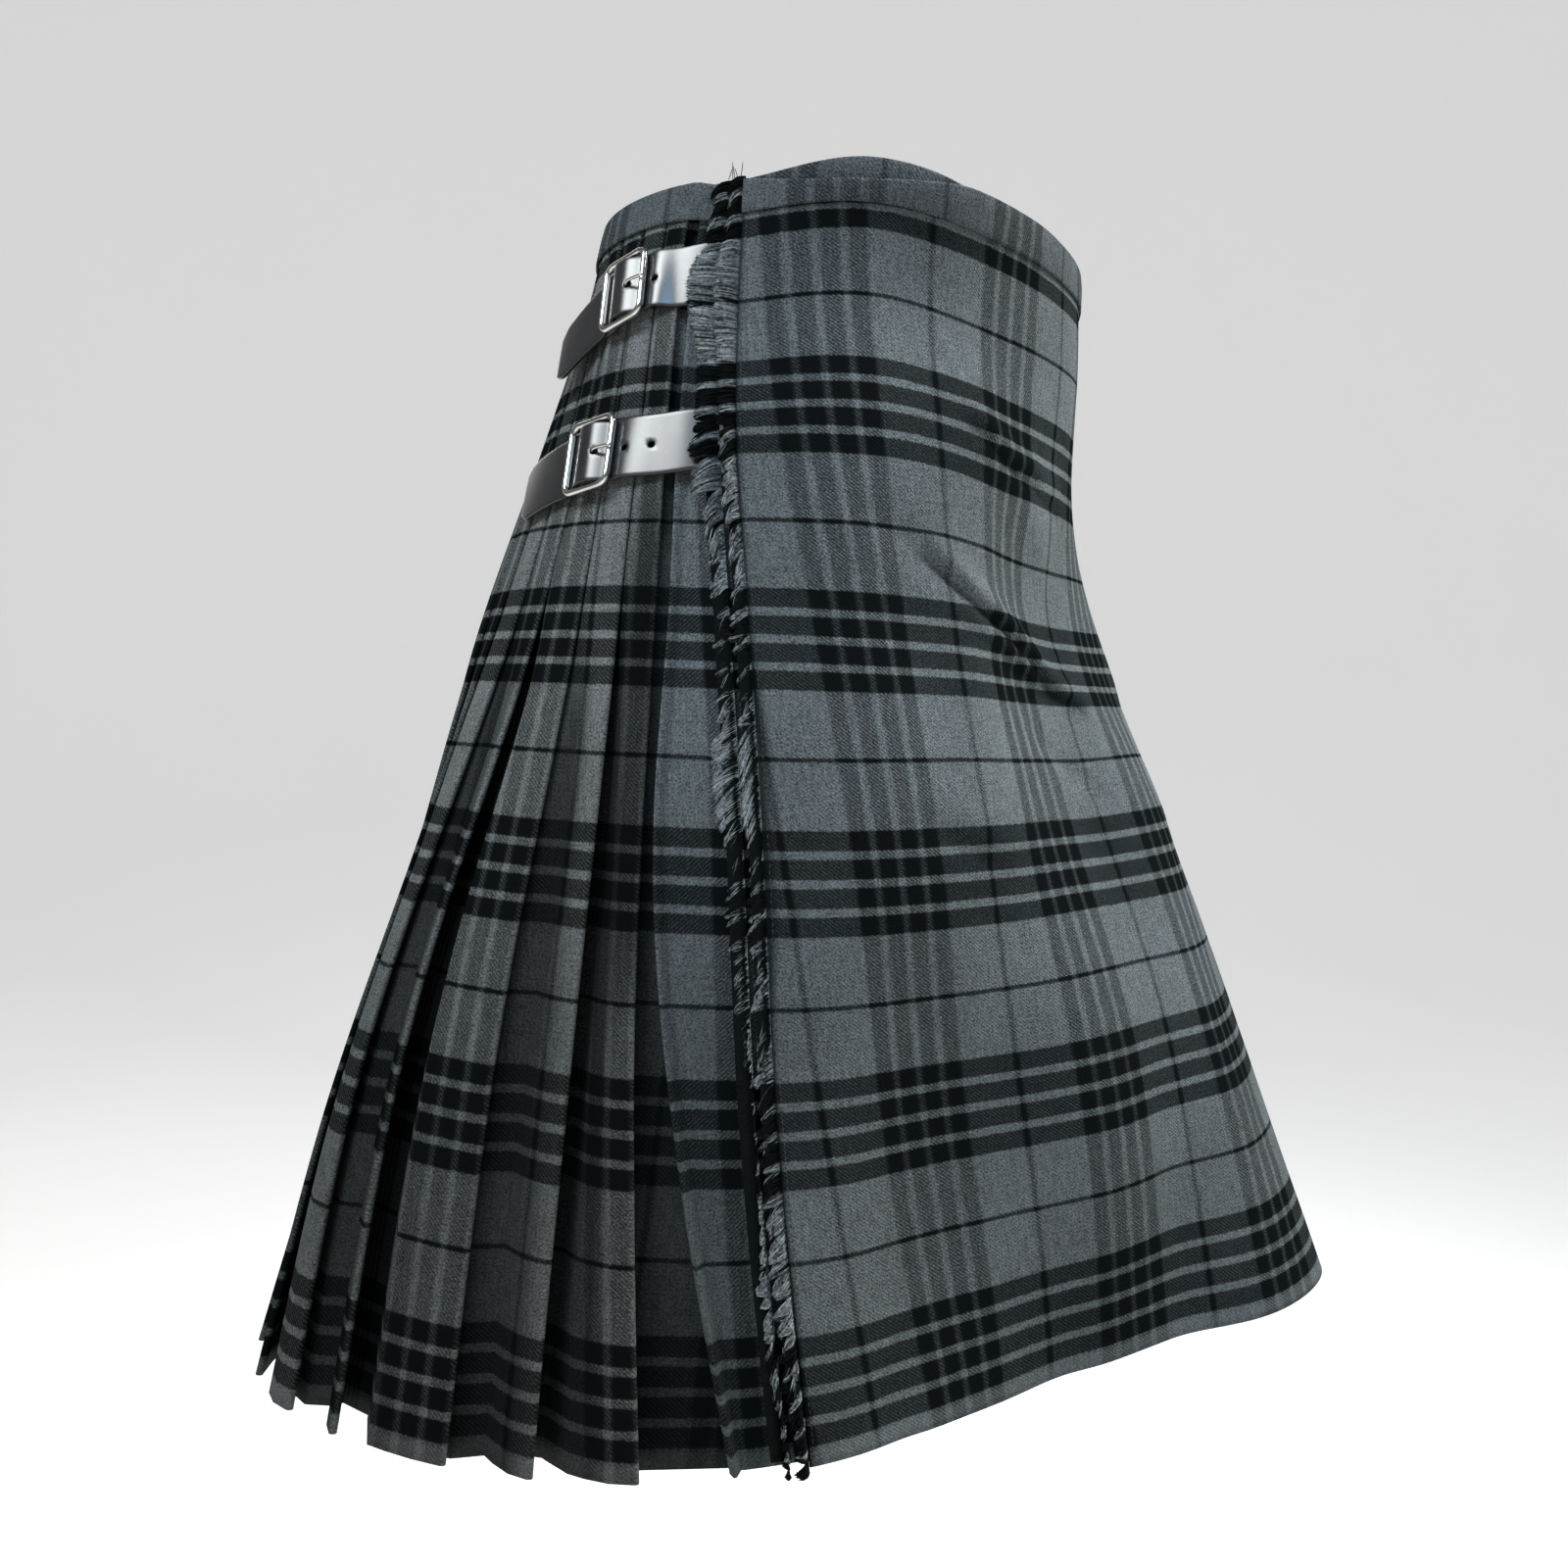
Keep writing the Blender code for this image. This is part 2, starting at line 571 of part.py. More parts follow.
def build_fringe(name, long, level, phase, finish):
    """A narrow backing along the apron's cut edge with tapering matted locks fused to it."""
    count = FRINGE_LOCKS
    drops = [PANEL_TOP + (KILT_DROP - PANEL_TOP) * i / count for i in range(count + 1)]
    half = 0.55
    points = []
    back = SEAM_GAP
    reach = back + FRINGE_BACKING
    for drop in drops:
        for a, lv in ((back, half), (reach, half * 0.8), (reach, -half * 0.8), (back, -half)):
            points.append(spot(drop, -a, level + lv))
    faces = []
    for i in range(count):
        a = 4 * i
        b = 4 * (i + 1)
        faces.append([a, b, b + 1, a + 1])
        faces.append([a + 2, b + 2, b + 3, a + 3])
        faces.append([a + 3, b + 3, b, a])
        # the lock grows from this cell of the strip's outer edge
        middle = (drops[i] + drops[i + 1]) / 2
        wave = math.sin(1.7 * i + phase) + 0.6 * math.sin(4.3 * i + 2 * phase)
        reach_out = long * (0.86 + 0.09 * wave)
        sag = 2.0 + 2.4 * math.sin(0.9 * i + 1.3 * phase)
        bow = 0.35 * math.sin(2.9 * i + phase)
        tip_drop = min(max(middle + sag, 1.0), KILT_DROP + 3.0)
        tip = []
        cell = (drops[i + 1] - drops[i]) * 0.24
        for dd, lv in ((-cell, half * 0.5), (-cell, -half * 0.5), (cell, -half * 0.5), (cell, half * 0.5)):
            tip.append(spot(tip_drop + dd, -reach_out, level + bow + lv))
        base = [a + 1, a + 2, b + 2, b + 1]
        first = len(points)
        points.extend(tip)
        for k in range(4):
            m = (k + 1) % 4
            faces.append([base[k], base[m], first + m, first + k])
        faces.append([first, first + 1, first + 2, first + 3])
    faces.append([0, 1, 2, 3])
    end = 4 * count
    faces.append([end, end + 1, end + 2, end + 3])
    return solid(name, points, faces, finish)


# ---- leather and metal -------------------------------------------------------------------------
# A tail row gives the distance past the buckle's middle, level, droop and share of full width.
UPPER_TAIL = ((20, 4.2, 0, 1), (27, 5.2, 2.5, 1), (35, 7.0, 5.5, 1), (43, 9.0, 9.5, 1),
              (49, 10.4, 12.5, 0.97), (53.5, 11.2, 15, 0.72))
LOWER_TAIL = ((20, 4.2, 0, 1), (30, 4.4, 0.6, 1), (42, 4.6, 1.4, 1), (54, 4.8, 2.6, 1), (60, 4.9, 3.4, 0.97),
              (64.5, 5.0, 4, 0.72))
LEFT_TAIL = ((20, 4.2, 0, 1), (30, 4.6, 2, 1), (40, 5.2, 5, 1), (47, 5.6, 7, 0.97), (51.5, 5.8, 8, 0.72))
# Right fastenings: name, drop, distance of the buckle behind the apron's edge, fall towards the
# tail in mm per mm, how the tail lies.
RIGHT_STRAPS = (("upper", 57.0, 63.0, 0.2, UPPER_TAIL), ("lower", 145.5, 78.4, 0.14, LOWER_TAIL))
LEFT_STRAP_DROP = 50.5
LEFT_BUCKLE_PAST_SLIT = 40.0
# The strap's way through a buckle: distance past its middle, level. The hole is the fourth cell.
THROUGH_BUCKLE = (
    (-20, 3.3), (-15, 3.6), (-11, 4.8), (-7.4, 7.0), (-2.6, 9.2), (0, 9.4), (4.5, 8.9), (11, 4.9), (15, 4.2),
)
HOLE_AFTER = -7.4
HOLE_HALF = 1.35


class Fastening:
    """Where a buckle lies on the outline, and how its strap runs through it."""

    def __init__(self, drop, arc, way, slant=0.0):
        self.drop = drop
        self.arc = arc
        self.way = way
        self.slant = slant
        rise = 8.0 * slant
        self.middle = spot(drop, arc)
        self.along = spot(drop + rise, arc + 8.0 * way) - spot(drop - rise, arc - 8.0 * way)
        self.along /= np.linalg.norm(self.along)
        up = spot(drop - 14.0, arc) - spot(drop + 14.0, arc)
        up -= self.along * np.dot(up, self.along)
        self.up = up / np.linalg.norm(up)
        out = np.cross(self.up, self.along)
        if np.dot(out, spot(drop, arc, 20.0) - self.middle) < 0:
            out = -out
        self.out = out

    def on_cloth(self, along, across, level, droop=0.0):
        """A place on the cloth, this far towards the tail and this far below the middle line."""
        drop = self.drop + along * self.slant + droop + across
        return spot(drop, self.arc + self.way * (along - across * self.slant), level)

    def at_arc(self, arc_at, across, level):
        """A place on the strap's line where it crosses an arc that is given for each drop."""
        drop = self.drop + self.slant * self.way * (arc_at(self.drop) - self.arc) + across
        return spot(drop, arc_at(drop), level)

    def over(self, along, across, level):
        """A place in the buckle's own straight frame; across points down."""
        return self.middle + self.along * along - self.up * across + self.out * level


def strap(name, held, lead, tail, finish):
    """A strap through a buckle. Lead stations are (arc at a drop, level)."""
    columns = []
    for arc_at, level in lead:
        columns.append(lambda w, a=arc_at, n=level: held.at_arc(a, w, n))
    for a, level in THROUGH_BUCKLE:
        columns.append(lambda w, a=a, n=level: held.over(a, w, n))
    hole = len(lead) + [a for a, _ in THROUGH_BUCKLE].index(HOLE_AFTER)
    for a, level, droop, share in tail:
        half = STRAP_WIDE / 2 * share
        columns.append(lambda w, a=a, n=level, d=droop, h=half: held.on_cloth(a, max(-h, min(w, h)), n, d))
    if held.way < 0:
        columns = columns[::-1]
        hole = len(columns) - 2 - hole
    edges = (-STRAP_WIDE / 2, -HOLE_HALF, HOLE_HALF, STRAP_WIDE / 2)
    rows = [[place(w) for place in columns] for w in edges]
    return wall(name, rows, STRAP_WALL, finish, skip=[(1, hole)])


def right_lead(drop):
    """The strap from its sewn end under the apron's edge, under the fringe, out over the pleats."""
    lead = [(lambda d, a=arc: a, level) for arc, level in (
        (28.0, -3.0), (12.0, -3.0), (3.0, -4.5), (-4.0, -4.7), (-15.0, -4.7), (-19.5, -4.3), (-23.5, -2.9))]
    lead.append((lambda d: SIDE_COLUMNS[3] - side_pleat_rows(d)[0], -0.6))
    first = side_pleat_rows(drop)[1]
    lead.append((lambda d: -first, 2.1))
    return lead


def left_lead():
    """The strap from the under apron's free edge, out through the slit in the over apron."""
    lead = []
    for past_sewn, level in ((-24.0, UNDER_LEVEL + 2.6), (-2.0, UNDER_LEVEL + 2.6), (14.0, -4.6)):
        lead.append((lambda d, p=past_sewn: arc_of(d, UNDER_LEFT) + p, level))
    for past_slit, level in ((-10.0, -4.4), (-4.2, -2.6), (4.2, 2.6), (10.0, 3.0)):
        lead.append((lambda d, p=past_slit: arc_of(d, SLIT_BEARING) + p, level))
    return lead


def build_buckle(name, held, finish):
    """A rounded rectangular frame joined to its centre bar."""
    half_long = BUCKLE_LONG / 2 - BUCKLE_ROD / 2
    half_tall = BUCKLE_TALL / 2 - BUCKLE_ROD / 2
    path = []
    for side_x, side_y, turn in ((1, 1, 0), (-1, 1, 90), (-1, -1, 180), (1, -1, 270)):
        for step in (0, 45, 90):
            a = math.radians(turn + step)
            x = side_x * (half_long - BUCKLE_CORNER) + BUCKLE_CORNER * math.cos(a)
            y = side_y * (half_tall - BUCKLE_CORNER) + BUCKLE_CORNER * math.sin(a)
            path.append(held.over(x, y, BUCKLE_LIFT))
    rings = rod_rings(path, BUCKLE_ROD / 2, 6, held.out, closed=True)
    frame = swept(name, rings, finish, closed=True)
    bar_rings = []
    for share, sink in ((-1.0, 0.25), (-0.93, 1.0), (0.93, 1.0), (1.0, 0.25)):
        place = held.over(0.0, -half_tall * share, BUCKLE_LIFT - BAR_SINK * sink)
        one = []
        for k in range(6):
            a = 2 * math.pi * (k + 0.5) / 6
            one.append(place + BUCKLE_BAR / 2 * (math.cos(a) * held.along + math.sin(a) * held.out))
        bar_rings.append(one)
    bar = swept(name + "_bar", bar_rings, finish)
    join = frame.modifiers.new("bar", "BOOLEAN")
    join.operation = "UNION"
    join.solver = "EXACT"
    join.object = bar
    bar.hide_render = True
    bar.display_type = "WIRE"
    return frame


def build_prong(name, held, finish):
    """A pin bent round the centre bar; it rises through the strap and its tip rests on the frame."""
    bar_level = BUCKLE_LIFT - BAR_SINK
    radius = BUCKLE_BAR / 2 + SEAM_GAP + PRONG_ROD / 2
    path = []
    for degrees in (-60, -15, 30, 75, 120):
        a = math.radians(degrees)
        path.append((radius * math.cos(a), bar_level + radius * math.sin(a)))
    path += PRONG_PATH
    places = [held.over(a, 0.0, level) for a, level in path]
    radii = [PRONG_ROD / 2] * (len(path) - 1) + [PRONG_ROD * 0.36]
    return swept(name, rod_rings(places, radii, 5, held.up), finish)


def build_tab(name, held, finish):
    """The leather tab that is sewn to the pleats and folds round the buckle's centre bar."""
    bar_level = BUCKLE_LIFT - BAR_SINK
    radius = BUCKLE_BAR / 2 + SEAM_GAP + TAB_WALL / 2
    path = [(7.0, bar_level - 0.5), (3.4, bar_level + 1.3)]
    for degrees in (65, 110, 155, 200, 245):
        a = math.radians(degrees)
        path.append((radius * math.cos(a), bar_level + radius * math.sin(a)))
    path += [(3.2, bar_level - radius - 0.3), (8.0, 1.8)]
    flat = CLOTH / 2 + SEAM_GAP + TAB_WALL / 2 + 0.4
    half = STRAP_WIDE / 2 - 1.0
    slot = 1.5
    outer = []
    inner = []
    ends = [14.0, 22.0, 30.0, TAB_LONG]
    for across in (-half, -slot, slot, half):
        folded = [held.over(a, -across, level) for a, level in path]
        laid = [held.on_cloth(a, -across, flat) for a in ends]
        row = folded + laid
        sides = []
        for i in range(len(row)):
            legs = [row[k + 1] - row[k] for k in (i - 1, i) if 0 <= k < len(row) - 1]
            turned = [np.cross(leg, held.up) / np.linalg.norm(np.cross(leg, held.up)) for leg in legs]
            side = sum(turned)
            side /= np.linalg.norm(side)
            sides.append(side / max(float(np.dot(side, turned[0])), 0.6))
        outer.append([p + s * TAB_WALL / 2 for p, s in zip(row, sides)])
        inner.append([p - s * TAB_WALL / 2 for p, s in zip(row, sides)])
    # the slot lets the prong turn about the bar
    skip = [(1, j) for j in range(0, 7)]
    return shell(name, outer, inner, finish, skip)


def main():
    for old in list(bpy.data.objects):
        bpy.data.objects.remove(old, do_unlink=True)
    outer_cloth = material("apron_cloth", (0.11, 0.12, 0.13), 0.9)
    pleat_cloth = material("pleat_cloth", (0.09, 0.10, 0.11), 0.9)
    band_cloth = material("band_cloth", (0.07, 0.08, 0.09), 0.9)
    yarn = material("fringe_yarn", (0.14, 0.15, 0.16), 0.95)
    leather = material("strap_leather", (0.015, 0.015, 0.018), 0.3)
    tab_leather = material("tab_leather", (0.03, 0.028, 0.027), 0.6)
    nickel = material("nickel", (0.75, 0.75, 0.74), 0.18, 1.0)
    build_over_apron(outer_cloth)
    build_under_apron(outer_cloth)
    build_pleats(pleat_cloth)
    build_waistband(band_cloth)
    for name, long, level, phase in FRINGES:
        build_fringe(name, long, level, phase, yarn)
    fastened = []
    for name, drop, past_edge, slant, tail in RIGHT_STRAPS:
        fastened.append((name, Fastening(drop, -past_edge, -1, slant), right_lead(drop), tail))
    past_slit = arc_of(LEFT_STRAP_DROP, SLIT_BEARING) + LEFT_BUCKLE_PAST_SLIT
    fastened.append(("left", Fastening(LEFT_STRAP_DROP, past_slit, 1), left_lead(), LEFT_TAIL))
    for name, held, lead, tail in fastened:
        strap("strap_" + name, held, lead, tail, leather)
        build_buckle("buckle_" + name, held, nickel)
        build_prong("prong_" + name, held, nickel)
        build_tab("tab_" + name, held, tab_leather)


main()
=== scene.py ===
"""The kilt's cloth, yarn, leather and metal, laid over the frame's solids and lit for a portrait."""

import logging
import math
from collections.abc import Callable, Iterable, Sequence
from dataclasses import dataclass, field
from enum import Enum
from typing import ClassVar

import bmesh
import bpy
import numpy as np
from mathutils import Matrix, Vector


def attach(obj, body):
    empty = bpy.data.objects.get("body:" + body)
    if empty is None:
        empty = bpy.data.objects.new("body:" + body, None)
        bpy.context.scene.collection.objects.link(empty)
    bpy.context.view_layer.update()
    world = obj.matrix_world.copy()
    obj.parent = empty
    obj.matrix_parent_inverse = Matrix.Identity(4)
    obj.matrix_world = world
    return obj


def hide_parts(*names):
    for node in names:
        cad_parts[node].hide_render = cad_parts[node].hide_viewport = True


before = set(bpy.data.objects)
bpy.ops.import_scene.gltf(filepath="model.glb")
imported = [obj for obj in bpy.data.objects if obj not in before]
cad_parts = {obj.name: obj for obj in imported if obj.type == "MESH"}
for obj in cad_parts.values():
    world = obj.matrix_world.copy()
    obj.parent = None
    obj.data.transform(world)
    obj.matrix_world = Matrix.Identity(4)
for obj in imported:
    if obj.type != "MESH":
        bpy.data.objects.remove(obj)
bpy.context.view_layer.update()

log = logging.getLogger("kilt")
MM = 0.001


# ---- curves and the garment's outline ------------------------------------------------------------
def smooth(knots: Sequence[float], values: np.ndarray, at: np.ndarray) -> np.ndarray:
    """Read a smooth curve through values at knots.

    Args:
        knots: rising places of the values.
        values: one value or row of values a knot.
        at: where the curve is read.

    Returns:
        The curve's values there.
    """
    knots = np.asarray(knots, float)
    values = np.asarray(values, float)
    at = np.clip(np.asarray(at, float), knots[0], knots[-1])
    wide = (-1,) + (1,) * (values.ndim - 1)
    step = np.diff(knots)
    slope = np.diff(values, axis=0) / step.reshape(wide)
    tangent = np.concatenate([slope[:1], slope])
    share = (step[:-1] / (step[:-1] + step[1:])).reshape(wide)
    tangent[1:-1] = slope[:-1] * (1 - share) + slope[1:] * share
    i = np.clip(np.searchsorted(knots, at, side="right") - 1, 0, len(knots) - 2)
    t = ((at - knots[i]) / step[i]).reshape((-1,) + (1,) * (values.ndim - 1))
    h = step[i].reshape(t.shape)
    return (
        (2 * t**3 - 3 * t**2 + 1) * values[i]
        + (t**3 - 2 * t**2 + t) * h * tangent[i]
        + (3 * t**2 - 2 * t**3) * values[i + 1]
        + (t**3 - t**2) * h * tangent[i + 1]
    )


def profile(table: Sequence[Sequence[float]], at: np.ndarray, which: int = 1) -> np.ndarray:
    """Read one column of a table whose first column is the drop, at many drops."""
    rows = np.array(table, float)
    return smooth(rows[:, 0], rows[:, which], at)


def column(table: Sequence[Sequence[float]], which: int, at: float) -> float:
    """Read one column of such a table at one drop."""
    return float(profile(table, [at], which)[0])


def ease(low: float, high: float, at: float) -> float:
    """Rise smoothly from 0 at low to 1 at high."""
    t = min(max((at - low) / (high - low), 0.0), 1.0)
    return t * t * (3 - 2 * t)


def grown(rule: tuple[float, float, float], drop: float) -> float:
    """Read a rule: a full value, and the two drops between which it grows from 0 to that."""
    full, low, high = rule
    return full * ease(low, high, drop)


def spread(stops: Iterable[float], step: float) -> np.ndarray:
    """Rising places that include every stop, with gaps of at most `step` between.

    Args:
        stops: places to include.
        step: the widest gap.

    Returns:
        The places.
    """
    stops = sorted(set(stops))
    places = [stops[0]]
    for low, high in zip(stops, stops[1:]):
        count = max(1, math.ceil((high - low) / step))
        places += [low + (high - low) * k / count for k in range(1, count + 1)]
    return np.array(places)


def walk(points: np.ndarray) -> np.ndarray:
    """Distance along a line of points, 0 at the first."""
    return np.concatenate([[0.0], np.cumsum(np.linalg.norm(np.diff(points, axis=0), axis=1))])


@dataclass(frozen=True)
class Fall:
    """The garment's outline. A place on it has a drop, an arc and a level, all in mm.

    Bearing 0 is the front, 90 the wearer's left and -90 the wearer's right. The arc is measured
    along the cloth from the over apron's cut edge, and a level is how far it stands outside.
    """

    bearings: tuple = (0, 25, 50, 90, 135, 180, 215, 240, 265, 290, 315, 340)
    # height below the waist top, and the radius there at each bearing
    sections: tuple = (
        (0, 129, 133, 145, 163, 142, 127, 135, 152, 159, 162, 153, 136),
        (60, 124, 132, 143, 179, 160, 150, 157, 166, 174, 164, 142, 126),
        (130, 121, 128, 144, 192, 178, 168, 181, 188, 190, 180, 153, 126),
        (215, 117, 134, 168, 202, 198, 190, 210, 217, 210, 192, 156, 122),
        (320, 148, 180, 205, 212, 220, 216, 236, 250, 230, 207, 176, 149),
        (450, 189, 225, 243, 229, 253, 254, 275, 296, 252, 211, 170, 176),
        (620, 193, 283, 268, 249, 299, 303, 324, 344, 291, 223, 175, 164),
    )
    # start, end and step of the bearings, heights and drops that the outline is kept at
    bearing_range: tuple = (-300.0, 161.0, 1.5)
    height_range: tuple = (0.0, 651.0, 5.0)
    drop_range: tuple = (0.0, 641.0, 1.0)
    tilt: float = 0.042
    tilt_ends: float = 300.0
    # broad drag folds: bearing and drop of both ends, height, and width above and below the line
    folds: tuple = (
        (-42, 212, 16, 264, 6.5, 30.0, 7.0),
        (-46, 96, 8, 178, 3.0, 30.0, 16.0),
        (-58, 190, -34, 420, -3.0, 26.0, 26.0),
        (40, 250, 84, 190, 4.0, 26.0, 12.0),
        (34, 330, 74, 520, -4.0, 30.0, 30.0),
    )
    # where the cloth rides up or hangs lower: bearing, drop, rise, width in degrees and in drop
    rides: tuple = (
        (-58, 55, 6.0, 16, 105),
        (-84, 60, -2.5, 10, 60),
        (0, 175, -3.2, 36, 50),
        (26, 405, -2.4, 14, 70),
        (-26, 530, 5.0, 24, 110),
        (2, 560, 3.4, 14, 100),
    )
    degree: float = 2.9
    # the pleats behind the wearer's right hip hang lower: by how much, at which bearing, how wide
    back_hang: float = 9.0
    hang_at: float = -122.0
    hang_wide: float = 30.0
    fell: float = 215.0
    hem: float = 609.0
    # bearing of the over apron's cut edge at each drop
    edge: tuple = ((0, -81), (60, -81), (130, -79.5), (215, -76.5), (320, -73.5), (450, -71.5), (620, -67))
    kept: ClassVar[dict] = {}
    tables: ClassVar[dict] = {}

    def table(self) -> tuple[np.ndarray, ...]:
        """Bearings, and the outline's height and radius there at every mm of drop.

        Returns:
            The bearings, and heights and radii as drops by bearings.
        """
        if "outline" not in self.tables:
            rows = np.array(self.sections, float)
            base = np.array(self.bearings, float)
            around = np.concatenate([base - 360, base, base + 360])
            at = np.arange(*self.bearing_range)
            heights = np.arange(*self.height_range)
            radii = smooth(around, np.tile(rows[:, 1:], (1, 3)).T, at).T
            radii = smooth(rows[:, 0], radii, heights)
            lengths = np.cumsum(np.hypot(np.diff(radii, axis=0), self.height_range[2]), axis=0)
            lengths = np.concatenate([np.zeros((1, len(at))), lengths])
            drops = np.arange(*self.drop_range)
            height = np.stack([np.interp(drops, lengths[:, j], heights) for j in range(len(at))], axis=1)
            radius = np.stack([np.interp(height[:, j], heights, radii[:, j]) for j in range(len(at))], axis=1)
            self.tables["outline"] = (at, height, radius)
        return self.tables["outline"]

    def along_line(self, at: np.ndarray, drop: float, ends: Sequence[float]) -> tuple[np.ndarray, np.ndarray]:
        """Measure places against a straight line drawn on the cloth.

        Args:
            at: bearings of the places.
            drop: their drop.
            ends: bearing and drop of the line's start, then of its end.

        Returns:
            Share of the way along the line, and mm below it, one each for every place.
        """
        b0, d0, b1, d1 = ends
        along_b, along_d = (b1 - b0) * self.degree, d1 - d0
        length = math.hypot(along_b, along_d)
        from_b, from_d = (at - b0) * self.degree, drop - d0
        way = (from_b * along_b + from_d * along_d) / length**2
        return way, (from_d * along_b - from_b * along_d) / length

    def fold_height(self, at: np.ndarray, drop: float) -> np.ndarray:
        """How far the drag folds push the cloth out at these bearings.

        Args:
            at: the bearings.
            drop: the row.

        Returns:
            Height in mm at each bearing.
        """
        total = np.zeros_like(at)
        for *ends, high, above, below in self.folds:
            way, side = self.along_line(at, drop, ends)
            if ends[2] < ends[0]:
                side = -side
            fade = np.clip(1.0 - (2 * way - 1) ** 2, 0, 1) ** 0.7
            total = total + high * fade * np.exp(-((side / np.where(side < 0, above, below)) ** 2))
        return total

    def ring(self, drop: float) -> tuple[np.ndarray, np.ndarray, np.ndarray]:
        """Points, outward directions and arcs of the outline at one drop, in mm.

        Args:
            drop: mm below the waist top, along the cloth.

        Returns:
            The three, one row or value a bearing.
        """
        key = round(float(drop), 3)
        if key not in self.kept:
            at, heights, radii = self.table()
            row, part = int(drop), drop - int(drop)
            height = heights[row] * (1 - part) + heights[row + 1] * part
            radius = radii[row] * (1 - part) + radii[row + 1] * part + self.fold_height(at, drop)
            hang = self.back_hang * np.exp(-(((at - self.hang_at) / self.hang_wide) ** 2))
            hang = hang * ease(self.fell, self.hem, drop)
            turn = np.radians(at)
            x, y = radius * np.sin(turn), -radius * np.cos(turn)
            z = -height - hang + self.tilt * y * max(0.0, 1 - drop / self.tilt_ends)
            for b0, d0, high, wide, tall in self.rides:
                z = z + high * np.exp(-(((at - b0) / wide) ** 2) - ((drop - d0) / tall) ** 2)
            points = np.stack([x, y, z], axis=1)
            along = np.gradient(points[:, :2], axis=0)
            along /= np.linalg.norm(along, axis=1, keepdims=True)
            out = np.stack([along[:, 1], -along[:, 0]], axis=1)
            arcs = walk(points)
            start = np.interp(column(self.edge, 1, drop), at, arcs)
            self.kept[key] = (points, out, arcs - start)
        return self.kept[key]

    def arc_of(self, drop: float, bearing: float) -> float:
        """Arc of a bearing at this drop."""
        return float(np.interp(bearing, self.table()[0], self.ring(drop)[2]))

    def bearing_of(self, drop: float, arcs: np.ndarray) -> np.ndarray:
        """Bearings of arcs at this drop."""
        return np.interp(arcs, self.ring(drop)[2], self.table()[0])

    def lay(self, drop: float, arcs: Sequence[float], levels: Sequence[float] | float = 0.0) -> np.ndarray:
        """Places at these arcs and levels.

        Args:
            drop: mm below the waist top, along the cloth.
            arcs: mm along the cloth from the over apron's cut edge.
            levels: mm outside the outline.

        Returns:
            One row of x, y, z in metres an arc.
        """
        points, out, own = self.ring(drop)
        arcs = np.atleast_1d(np.asarray(arcs, float))
        levels = np.broadcast_to(np.asarray(levels, float), arcs.shape)
        place = np.stack([np.interp(arcs, own, points[:, k]) for k in range(3)], axis=1)
        facing = np.stack([np.interp(arcs, own, out[:, k]) for k in range(2)], axis=1)
        facing /= np.linalg.norm(facing, axis=1, keepdims=True)
        place[:, :2] += facing * levels[:, None]
        return place * MM

    def spot(self, drop: float, arc: float, level: float = 0.0) -> np.ndarray:
        """One place in metres."""
        return self.lay(drop, [arc], [level])[0]


FALL = Fall()


